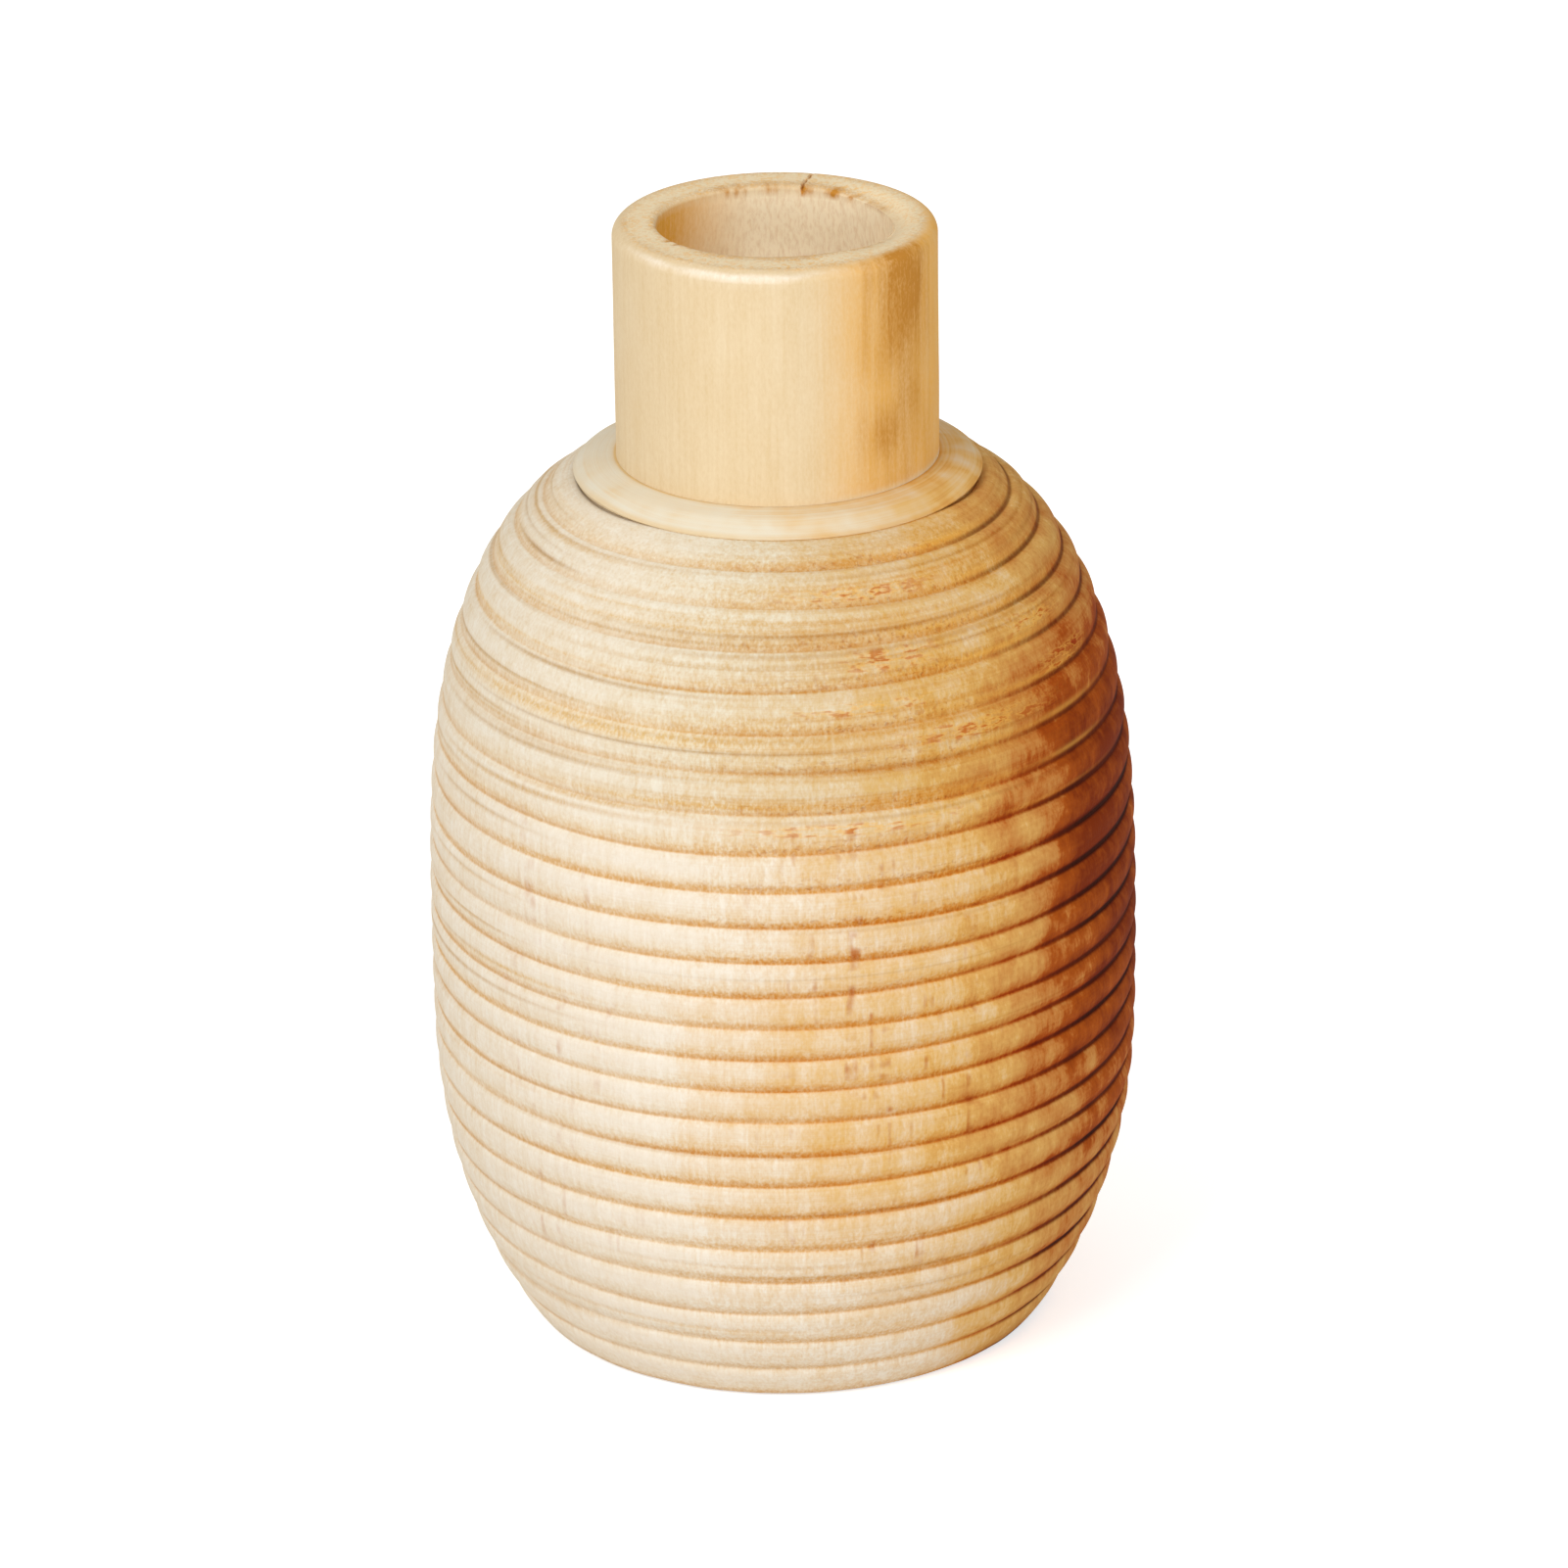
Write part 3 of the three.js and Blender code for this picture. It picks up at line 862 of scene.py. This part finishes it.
class NeckSurface:
    """The neck's radii and heights on a grid, worn and torn step by step, and its wood's attributes."""

    COLUMNS = 600

    def __init__(self, neck):
        self.neck = neck
        self.turn = turns(self.COLUMNS)
        self.radius, self.top = NECK_HIGH.x, NECK_HIGH.z
        self.bore = self.radius - neck.wall
        self.step = COLLAR_HIGH.z + STEP_GAP
        self.radii, self.heights = widened(self.section(), self.COLUMNS)
        self.inside = self.by_bore(0.6, 0.5)
        self.shape_mouth()
        self.tear_edge()
        self.sand_wall()
        self.wear_edge()
        self.crack_rim()

    def by_bore(self, width, span):
        """0 at a width outside the bore, eased up to 1 one span nearer to it, both in millimetres."""
        return eased(self.radii, self.bore + width * MM, -span * MM)

    def by_top(self, depth, span):
        """0 at a depth below the top, eased up to 1 one span above it, both in millimetres."""
        return eased(self.heights, self.top - depth * MM, span * MM)

    def section(self):
        """The plain section: out along the spigot's end, up the outside, over the rim and down the bore."""
        neck, radius, top, bore = self.neck, self.radius, self.top, self.bore
        outer, inner = neck.rim_outer_round, neck.rim_inner_round
        spigot, bottom = radius - neck.spigot_step, NECK_LOW.z
        return joined(
            straight((bore, bottom), (spigot - neck.spigot_chamfer, bottom), 2),
            straight((spigot, bottom + neck.spigot_chamfer), (spigot, self.step), 3),
            straight((radius, self.step), (radius, top - outer), 34),
            quarter_round(radius - outer, top - outer, outer, 0, 12),
            straight((radius - outer, top), (bore + inner, top), 14),
            quarter_round(bore + inner, top - inner, inner, 90, 9),
            straight((bore, top - inner), (bore, bottom), 46),
        )

    def shape_mouth(self):
        """Draws in the mouth's front and back, by the turn's squared cosine, and wears down its right."""
        lengthways = np.cos(2 * math.pi * (self.turn - FRONT_TURN)) ** 2
        mouth = self.by_bore(2.5, 2.5) * self.by_top(18, 16)
        self.radii = self.radii - self.neck.mouth_oval * lengthways * mouth
        worn = near(self.turn, 95, 70) * self.by_bore(5.5, 5) * self.by_top(2, 2)
        self.heights = self.heights - self.neck.worn_depth * worn

    def tear_edge(self):
        """Tears the grain of the mouth's edge fibre by fibre, most at the back and at the left."""
        edge = self.by_bore(2.6, 2) * self.by_top(3.2, 2.4)
        where = 0.15 + 0.85 * np.maximum(near(self.turn, 160, 70), near(self.turn, -75, 40))
        fibres = ripple(self.turn, (self.top - self.heights) / (1.6 * MM) + 2, 120, 11)
        fibres = fibres * (0.5 + ripple(self.turn, 1, 29, 16))
        self.torn = edge * where * np.clip(1.3 * fibres, 0, 1)
        depth = self.neck.torn_depth * self.torn
        self.radii = self.radii + depth * self.inside
        self.heights = self.heights - 0.7 * depth * (1 - self.inside)

    def sand_wall(self):
        """Leaves the outside uneven by up to a fifth of a millimetre."""
        self.wall = eased(self.radii, self.radius - 4 * MM, 3 * MM) * eased(self.heights, self.step, 2 * MM)
        uneven = 1 + ripple(self.turn, (self.top - self.heights) / (14 * MM) + 2, 11, 12)
        self.radii = self.radii - 0.10 * MM * self.wall * uneven

    def wear_edge(self):
        """Wears the rim's outer edge down unevenly on the front."""
        outer = self.neck.rim_outer_round
        worn = bump(self.radii, self.radius - 0.4 * outer, 0.8 * outer)
        worn = worn * eased(self.heights, self.top - outer, outer) * near(self.turn, -5, 110)
        self.heights = self.heights - 0.35 * MM * worn * (1 + ripple(self.turn, 1, 48, 18))

    def crack_rim(self):
        """Opens a narrow, crooked drying check across the rim at the back."""
        crooked = 0.0016 * ripple(0 * self.turn, self.radii / (1.5 * MM), 3, 13)
        across = 2 * math.pi * self.radii * turn_between(self.turn, turn_at(CHECK_DEGREES) + crooked)
        inward = eased(self.radii, self.radius - 1.5 * MM, -2 * MM)
        self.crack = bump(across, 0, 0.55 * MM) * self.by_top(2.5, 2) * inward
        self.heights = self.heights - self.neck.check_depth * self.crack

    def figure(self):
        """The brown figure: a streaky band down the right, with a dark top and a knot near its foot."""
        rise = (self.heights - self.step) / (self.top - self.step)
        turn = self.turn + 0.011 * ripple(self.turn, rise * 3 + 1, 150, 23)
        band = near(turn, 51, 30) * (0.34 + 0.28 * ripple(turn, rise * 5 + 1, 60, 14))
        band = band * (0.7 + 0.3 * eased(rise, 0, 0.25))
        top = 0.85 * near(turn, 53, 21) * eased(rise, 0.42, 0.45)
        knot = 0.3 * near(turn, 41, 15) * bump(rise, 0.28, 0.19)
        return np.clip(band + top + knot, 0, 1) * self.wall

    def torn_and_shade_colour(self):
        """Where torn grain shows brown: in the tears, in the check and in spots at the mouth's edge. The
        broad spot on the front is torn grain and painted shade along the inner edge.
        """
        spots = sum(strength * near(self.turn, degrees, half) for degrees, half, strength in MOUTH_SPOTS)
        spots = spots * self.by_bore(2, 1.2) * bump(self.top - self.heights, MM, 1.4 * MM)
        spots = spots * (0.2 + 1.3 * ripple(self.turn, 1, 150, 20))
        return np.clip(1.1 * self.torn + 0.8 * self.crack + np.maximum(spots, 0), 0, 1)

    def rubbed_and_highlit_edge(self):
        """Where the rim's outer edge is rubbed pale and painted with a highlight: a wavering line on the
        front.
        """
        radii = self.radii + 0.4 * MM * ripple(self.turn, 1, 24, 19)
        rubbed = near(self.turn, -8, 78) * bump(radii, self.radius - 0.9 * MM, MM) * self.by_top(3.4, 1.2)
        return np.clip(rubbed * (0.9 + 0.8 * ripple(self.turn, 1, 34, 15)), 0, 1)

    def attributes(self):
        """The shares that the neck's wood reads."""
        below, degrees = self.top - self.heights, degrees_right(self.turn)
        left_bore = near(self.turn, -100, 75)
        shaded = self.inside * left_bore * eased(below, 0, 2 * MM)
        inward = eased(self.radii, self.radius - 1.5 * MM, -2 * MM)
        flat = self.by_top(2.6, 2) * (1 - self.inside) * inward
        # Painted shade: golden down the neck's right side and, below, on the bore's shaded left wall; a weak
        # golden tint in the bore's right
        golden = 0.75 * eased(degrees, 8, 54) * eased(degrees, 175, -90) + 0.3 * near(self.turn, 32, 24)
        golden = self.wall * golden + 0.15 * self.inside * near(self.turn, 80, 70)
        return {
            # Painted light: the bore's wood is painted near white
            "bore": self.inside * eased(below, 0, 3 * MM),
            # Brown figure and torn grain, with painted shade on the bore's shaded left wall
            "stain_and_shade": np.maximum(np.maximum(self.figure(), self.torn_and_shade_colour()), 0.25 * shaded),
            # Rubbed pale edge of the rim, with a painted highlight on the front
            "worn": self.rubbed_and_highlit_edge(),
            # Painted light on the rim's flat top
            "rim": 0.4 * flat,
            "end_grain": flat * (0.75 + 0.25 * ripple(self.turn, 1, 26, 17)),
            "pores": self.inside * (1 - 0.6 * left_bore),
            "golden": np.maximum(golden, shaded),
        }


class VASE_OT_neck(bpy.types.Operator):
    """Builds the neck tube with its rim, bore and spigot."""

    bl_idname = "vase.neck"
    bl_label = "Build neck"

    def execute(self, context):
        surface = NeckSurface(context.scene.vase_neck)
        material = neck_wood(context.scene.vase_colours)
        turned_piece(
            "neck", "neck_tube", surface.radii, surface.heights, material, surface.attributes()
        )
        return {"FINISHED"}


# Collar


class VASE_OT_collar(bpy.types.Operator):
    """Builds the domed collar at the neck's root."""

    bl_idname = "vase.collar"
    bl_label = "Build collar"

    def execute(self, context):
        neck = context.scene.vase_neck
        columns = 540
        turn = turns(columns)
        radii, heights = widened(self.section(neck), columns)
        front = between(turn, *COLLAR_FRONT)
        radii, heights = self.meet_shoulder(neck, turn, front, radii, heights)
        inset = COLLAR_HIGH.x - neck.collar_flush * front - radii
        # Painted shade: golden under the collar's outer edge and, weaker on the front, in the crease at the
        # neck's root
        edge = 0.6 * eased(inset, 1.2 * MM, -1.0 * MM) * (0.6 + 0.3 * ripple(turn, 1, 12, 22))
        root = 1 - eased(radii - NECK_HIGH.x, 0.2 * MM, 0.8 * MM)
        attributes = {
            "section": radii,
            # Painted shade on the collar's right, as on the body
            "painted_shade": 0.75 * painted_shade(turn, np.full_like(radii, 0.98)),
            "golden_edge_shade": np.clip(edge + root * (1 - 0.75 * near(turn, 5, 50)), 0, 1),
        }
        material = collar_wood(context.scene.vase_colours)
        turned_piece("collar", "shoulder_collar", radii, heights, material, attributes)
        return {"FINISHED"}

    def section(self, neck):
        """The plain section: out along the flat underside, up the edge, over the dome and down the socket."""
        low, high = COLLAR_LOW.z, COLLAR_HIGH.z
        socket = NECK_HIGH.x - neck.spigot_step + (low - UPPER_HIGH.z)
        run = np.linspace(1, 0, 26)
        dome_radii = NECK_HIGH.x + (COLLAR_HIGH.x - NECK_HIGH.x) * run
        dome_height = high - low - neck.collar_edge
        dome_heights = low + neck.collar_edge + dome_height * falling(run, DOME_START, DOME_TURN)
        return joined(
            straight((socket, low), (COLLAR_HIGH.x - neck.collar_ease, low), 4),
            (dome_radii, dome_heights),
            straight((NECK_HIGH.x - 1 * MM, high), (socket, high), 3),
            straight((socket, high - 1 * MM), (socket, low + 1 * MM), 3),
        )

    def meet_shoulder(self, neck, turn, front, radii, heights):
        """Leaves the dome slightly uneven and, on the front, brings the collar's brim down on the shoulder.

        There the brim is narrower, its underside closes the gap below it and its upper side thins to an edge.
        """
        low, gap = COLLAR_LOW.z, COLLAR_LOW.z - UPPER_HIGH.z
        brim = eased(radii - NECK_HIGH.x, 4 * MM, 6 * MM)
        flush = neck.collar_flush * front
        radii = radii - flush * brim
        dome = eased(radii - NECK_HIGH.x, 1 * MM, 2 * MM) * eased(heights, low, 1 * MM)
        heights = heights - 0.10 * MM * dome * (1 + ripple(turn, radii / (2.5 * MM), 24, 21))
        seated = front * eased(heights, low + 0.3 * MM, -0.3 * MM) * brim
        radii = radii + neck.collar_ease * seated
        heights = heights - 0.85 * gap * seated
        thin = eased(COLLAR_HIGH.x - flush - radii, 4 * MM, -3.6 * MM) * eased(heights, low, 0.3 * MM)
        heights = heights - 1.08 * neck.collar_edge * front * thin
        return radii, heights


# Body


def body_attributes(outline, heights, place, turn, outside):
    """The attributes that the body's wood reads.

    They are the length along the section, the share of painted shade on the right flank, the painted shade
    that dulls the shoulder, the shoulder's tool bands, the painted yellow highlight on its rib edges on the
    right, the painted whitish highlight on the upper part of the ribs on the left, the golden painted shade
    on the lower part of each rib, the painted shade in the band above each groove and in the line in it, the
    nearly black painted shade in the grooves on the right and under the collar, and the places where brown
    specks of torn grain, upright marks and torn flakes show.
    """
    within, nearest = place % 1, np.round(place)
    shoulder, foot = 1 - eased(place, 6, 3), eased(place, 18, 5)
    left, front, right = near(turn, *LEFT_FLANK), near(turn, 5, 45), near(turn, *RIGHT_FLANK)
    # Golden and dark painted shade in the tool lines
    lined_golden, lined_dark = tool_lines(place, turn, outline.rib_count)[1:]

    # Painted shade: golden on the lower part of each rib and just below its groove
    lower_part = eased(within, 0.45, 0.45)
    golden = 0.55 + 0.3 * ripple(turn, nearest, 12, 31) + 0.2 * front - 0.35 * left
    golden = golden * np.maximum(0.8 * lower_part, 1 - eased(within, 0, 0.05)) * (1 - 0.45 * foot)
    # Painted shade in a golden band above each groove
    fuzzy = within + 0.05 * ripple(turn, place * 3, 200, 36)
    band = np.maximum(eased(fuzzy, 0.74, 0.16), 1 - eased(within, 0, 0.06))
    band = band * (0.60 + 0.25 * ripple(turn, nearest, 14, 37) + 0.1 * front - 0.15 * left)
    band = band * (1 - 0.6 * shoulder) * (1 - 0.4 * foot)

    # Painted shade in the grooves: a line at the bottom, nearly black on the right flank
    width = 0.055 + 0.055 * right * (1 - 0.7 * shoulder)
    groove = np.maximum(eased(within, 1 - 2 * width, 1.4 * width), 1 - eased(within, 0, 0.8 * width))
    uneven = ripple(turn, nearest, 16, 33)
    darkness = (0.40 + 0.35 * uneven - 0.1 * left) * (1 - 0.3 * foot) * (1 - 0.3 * shoulder)
    darkness = darkness * (1 - 0.8 * (nearest == 0) * between(turn, *COLLAR_FRONT))
    right_groove_shade = eased(right, 0.4, 0.45) * (0.9 + 0.3 * uneven) * (1 - 0.3 * shoulder)
    # Painted shade under the collar's edge on the left
    under_collar = 0.6 * near(turn, -85, 65) * (1 - eased(place, 0, 0.12))

    specks = (0.2 + 0.8 * lower_part) * near(turn, 20, 65) * (0.75 - 0.45 * eased(place, 9, 5))
    marks = np.maximum(near(turn, 18, 30), 0.35 * near(turn, -38, 25))
    chips = sum(
        near(turn, degrees, half_width) * smooth(1.6 * (1 - np.abs(place - where) / half_height))
        for where, degrees, half_width, half_height in CHIPS
    )
    # Painted highlight: a whitish sheen on the upper part of each rib
    sheen = eased(within, 0, 0.2) * (1 - eased(within, 0.3, 0.4))
    # Painted highlight: a yellow glint on the lower edge of each rib
    glint = np.exp(-(((within - 0.83) / 0.08) ** 2)) * (0.6 + 0.6 * ripple(turn, nearest, 24, 35))

    # Painted shade deepening to the right, deeper on the lower part of each rib and in its groove
    shade_share = painted_shade(turn, (heights - outline.base) / outline.height)
    lower_edge = 0.10 * lower_part * (1 - 0.7 * shoulder) + 0.16 * groove * (1 - 0.8 * shoulder)
    shade_share = shade_share + lower_edge * eased(degrees_right(turn), 8, 40) * (shade_share > 0.1)

    shares = {
        # Painted shade that dulls the shoulder, most on the front
        "shoulder_shade": shoulder * (0.2 + 0.6 * near(turn, 5, 55)),
        "banding": (0.25 + 0.75 * shoulder - 0.25 * foot) * (1 - 0.95 * left),
        "glint": glint * near(turn, 48, 32) * shoulder,
        "sheen": sheen * near(turn, -28, 40) * eased(place, 5, 4),
        "golden_edge_shade": golden + lined_golden,
        # Painted shade in and above the grooves
        "band": band,
        "groove_line": groove * darkness + lined_dark,
        "black_line": groove * right_groove_shade + under_collar + 0.4 * lined_dark,
        "specks": specks,
        "marks": marks * eased(place, 6, 3) * eased(place, 22, -2),
        "chips": chips,
    }
    return {
        "section": place * RIB_PITCH,
        "painted_shade": shade_share * (0.3 + 0.7 * outside),
        **{name: np.clip(share, 0, 1) * outside for name, share in shares.items()},
    }


def body_half(name, node, material, outline, body, inner_runs, first, last):
    """Makes a half of the body: ribs from one groove up to another, and plain runs that close the section."""
    columns, rows_a_rib = 240, 28
    turn = turns(columns)
    place = np.repeat(rib_rows(first, last, rows_a_rib)[:, None], columns, 1)
    steady = smooth(np.abs(place - outline.joint)) * eased(place, 0, 0.5) * eased(place, body.rib_count, -0.5)
    strayed = place + body.wander / RIB_PITCH * ripple(turn, place, 7, 32) * steady
    cut = bead_cut(body, place, turn) + tool_lines(place, turn, body.rib_count)[0]
    cut = cut + 0.05 * MM * (1 + ripple(turn, place * 2, 60, 2)) * eased(place, 0, 0.2)
    rib_radii, rib_heights = outline.surface(strayed, cut)
    plain_radii, plain_heights = widened(joined(*inner_runs), columns)
    radii = np.concatenate([rib_radii, plain_radii])
    heights = np.concatenate([rib_heights, plain_heights])
    outside = np.concatenate([np.ones_like(rib_radii), np.zeros_like(plain_radii)])
    places = np.concatenate([place, np.full_like(plain_radii, float(last))])
    attributes = body_attributes(outline, heights, places, turn, outside)
    turned_piece(name, node, radii, heights, material, attributes)


class VASE_OT_body(bpy.types.Operator):
    """Builds both halves of the ribbed body, with the hollow and the joint between them."""

    bl_idname = "vase.body"
    bl_label = "Build body"

    def execute(self, context):
        body = context.scene.vase_body
        neck = context.scene.vase_neck
        outline = BodyOutline(body)
        gap = COLLAR_LOW.z - UPPER_HIGH.z
        joint_radius, joint_height = outline.surface(float(outline.joint), body.rib_depth)
        lip, lip_edge = joint_height + SEAM, joint_radius - gap
        tenon_top = joint_height + body.tenon_height
        tenon_inner = float(outline.radius(tenon_top - outline.base)) - body.wall
        tenon_outer = tenon_inner + body.tenon_thickness
        cavity_top = UPPER_HIGH.z - body.shoulder_thickness
        socket = NECK_HIGH.x - neck.spigot_step + gap
        land = outline.shoulder_radius - body.land_step
        rebate, rebate_top = PLUG_HIGH.x + gap, PLUG_HIGH.z + gap
        ledge, ledge_top = rebate - body.ledge_width, rebate_top + body.ledge_thickness
        material = body_wood(context.scene.vase_colours)

        def wall(start, end):
            """The wall of the hollow between two heights, one thickness inside the crests."""
            heights = np.linspace(start, end, 30)
            return outline.radius(heights - outline.base) - body.wall, heights

        upper_runs = (
            straight((land, UPPER_HIGH.z), (socket, UPPER_HIGH.z), 5),
            straight((socket, UPPER_HIGH.z - gap), (socket, cavity_top), 4),
            wall(cavity_top, tenon_top + gap),
            straight((tenon_outer + gap, tenon_top + gap), (tenon_outer + gap, lip), 4),
            straight((tenon_outer + 2 * gap, lip), (lip_edge, lip), 3),
        )
        lower_runs = (
            straight((lip_edge, joint_height), (tenon_outer + gap, joint_height), 3),
            straight((tenon_outer, joint_height), (tenon_outer, tenon_top), 4),
            straight((tenon_outer - gap, tenon_top), (tenon_inner + gap, tenon_top), 3),
            wall(tenon_top, ledge_top),
            straight((ledge, ledge_top), (ledge, rebate_top), 4),
            straight((ledge + gap, rebate_top), (rebate, rebate_top), 3),
            straight((rebate, PLUG_HIGH.z), (rebate, LOWER_LOW.z), 4),
        )
        joint, foot = outline.joint, body.rib_count
        body_half("body_upper", "upper_body", material, outline, body, upper_runs, joint, 0)
        body_half("body_lower", "lower_body", material, outline, body, lower_runs, foot, joint)
        return {"FINISHED"}


# Foot


class VASE_OT_foot(bpy.types.Operator):
    """Builds the plug that closes the foot and the felt under it."""

    bl_idname = "vase.foot"
    bl_label = "Build foot"

    def execute(self, context):
        colours = context.scene.vase_colours
        largest_ease, rings, columns = 0.4 * MM, 14, 180
        for name, node, slot, low, high, material in (
            ("foot_plug", "base_plug", "plug_wood", PLUG_LOW, PLUG_HIGH, plug_wood(colours)),
            ("foot_felt", "felt_pad", "felt", FELT_LOW, FELT_HIGH, pressed_felt(colours)),
        ):
            radius = high.x
            ease = min(largest_ease, (high.z - low.z) / 4)
            outward = radius * np.linspace(0, 0.98, rings)
            section = joined(
                (outward, np.full(rings, low.z)),
                quarter_round(radius - ease, low.z + ease, ease, -90, 4),
                quarter_round(radius - ease, high.z - ease, ease, 0, 4),
                (outward[::-1], np.full(rings, high.z)),
            )
            turned_disc(name, node, slot, *section, material, columns)
        return {"FINISHED"}


# Stage


class VASE_OT_stage(bpy.types.Operator):
    """Lays the floor, hangs the lamps and sets up the camera."""

    bl_idname = "vase.stage"
    bl_label = "Set the stage"

    def execute(self, context):
        scene = context.scene
        scene.view_settings.view_transform = "Standard"
        self.floor(scene)
        self.lamps(scene)
        self.camera(scene)
        return {"FINISHED"}

    def floor(self, scene):
        """A wide round floor that lies just under the felt."""
        count, reach, below = 96, 9.0, 0.2 * MM
        angles = 2 * math.pi * np.arange(count) / count
        points = np.stack([reach * np.cos(angles), reach * np.sin(angles), np.full(count, -below)], axis=-1)
        mesh = bpy.data.meshes.new("floor")
        mesh.from_pydata(points, [], [list(range(count))])
        mesh.materials.append(pale_floor(scene.vase_colours))
        floor = bpy.data.objects.new("floor", mesh)
        scene.collection.objects.link(floor)

    def lamps(self, scene):
        """A broad key lamp from the front left, a weaker one from the front right, and a sky.

        The sky is brighter on the left than on the right, and the camera sees it as white.
        """
        self.lamp(scene, "key_lamp", -36, 39, 65.0)
        self.lamp(scene, "front_lamp", 36, 27, 47.0)
        world = bpy.data.worlds.new("studio")
        scene.world = world
        world.use_nodes = True
        tree = world.node_tree
        tree.nodes.clear()
        path = add(tree, "LightPath")
        rays = {0: path["Is Camera Ray"], 1: path["Is Transmission Ray"]}
        seen = add(tree, "Math", rays, operation="MAXIMUM")[0]
        split = add(tree, "SeparateXYZ", {"Vector": add(tree, "TexCoord")["Generated"]})
        fall = {"Value": split[0], "From Min": -1.0, "To Min": 0.67, "To Max": 0.34}
        light = add(tree, "MapRange", fall)[0]
        strength = add(tree, "Mix", {FACTOR: seen, VALUE: light, OTHER: 1.0}, data_type="FLOAT")[0]
        sky = add(tree, "Background", {"Color": (1.0, 1.0, 1.0, 1.0), "Strength": strength})[0]
        add(tree, "OutputWorld", {"Surface": sky})

    def lamp(self, scene, name, degrees, elevation, power):
        """A square lamp some degrees to the right of the front, aimed at the middle of the vase."""
        distance, size = 4.0, 1.8
        data = bpy.data.lights.new(name, "AREA")
        data.size = size
        data.energy = power
        lamp = bpy.data.objects.new(name, data)
        around, up = math.radians(degrees), math.radians(elevation)
        away = Vector((math.sin(around) * math.cos(up), -math.cos(around) * math.cos(up), math.sin(up)))
        lamp.location = Vector((0, 0, CAD_BOX[1].z / 2)) + away * distance
        lamp.rotation_euler = (-away).to_track_quat("-Z", "Y").to_euler()
        scene.collection.objects.link(lamp)

    def camera(self, scene):
        """The photograph's view: a long lens, 23.1 degrees above level, rolled by three quarters of a degree.

        The aim is a point on the axis, which shows 1.7 pixels left of the frame's middle and 23.6 below it.
        """
        frame_pixels = 1601
        focal_pixels = 7500
        elevation = math.radians(23.1)
        distance = 1.8015
        aim_height = 0.1286
        left_pixels, down_pixels = 1.7, 23.6
        roll = 0.0131
        data = bpy.data.cameras.new("camera")
        data.sensor_width = 36.0
        data.lens = focal_pixels / frame_pixels * data.sensor_width
        data.shift_x = left_pixels / frame_pixels
        data.shift_y = down_pixels / frame_pixels
        data.clip_start, data.clip_end = 0.1, 40.0
        camera = bpy.data.objects.new("camera", data)
        back = Vector((0, -math.cos(elevation), math.sin(elevation)))
        camera.location = Vector((0, 0, aim_height)) + back * distance
        upright = Euler((math.pi / 2 - elevation, 0, 0)).to_matrix()
        rolled = Euler((0, 0, -roll)).to_matrix()
        camera.rotation_euler = (upright @ rolled).to_euler()
        scene.collection.objects.link(camera)
        scene.camera = camera


class VASE_PT_panel(bpy.types.Panel):
    """Lists the vase's settings and the operators that build it."""

    bl_idname = "VASE_PT_panel"
    bl_label = "Turned vase"
    bl_space_type = "VIEW_3D"
    bl_region_type = "UI"
    bl_category = "Vase"

    def draw(self, context):
        layout = self.layout
        for operator in BUILD_ORDER:
            layout.operator(operator.bl_idname)
        for group in (context.scene.vase_neck, context.scene.vase_body, context.scene.vase_colours):
            box = layout.box()
            for key in group.__annotations__:
                box.prop(group, key)


BUILD_ORDER = (VASE_OT_stage, VASE_OT_neck, VASE_OT_collar, VASE_OT_body, VASE_OT_foot)
SETTINGS = {"vase_neck": VaseNeckSettings, "vase_body": VaseBodySettings, "vase_colours": VaseColours}


def register():
    for group in (*SETTINGS.values(), *BUILD_ORDER, VASE_PT_panel):
        bpy.utils.register_class(group)
    for name, group in SETTINGS.items():
        setattr(bpy.types.Scene, name, PointerProperty(type=group))


def unregister():
    for name in SETTINGS:
        delattr(bpy.types.Scene, name)
    for group in reversed((*SETTINGS.values(), *BUILD_ORDER, VASE_PT_panel)):
        bpy.utils.unregister_class(group)


def main():
    """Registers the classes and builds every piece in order."""
    register()
    bpy.ops.vase.stage()
    bpy.ops.vase.neck()
    bpy.ops.vase.collar()
    bpy.ops.vase.body()
    bpy.ops.vase.foot()


if __name__ == "__main__":
    main()
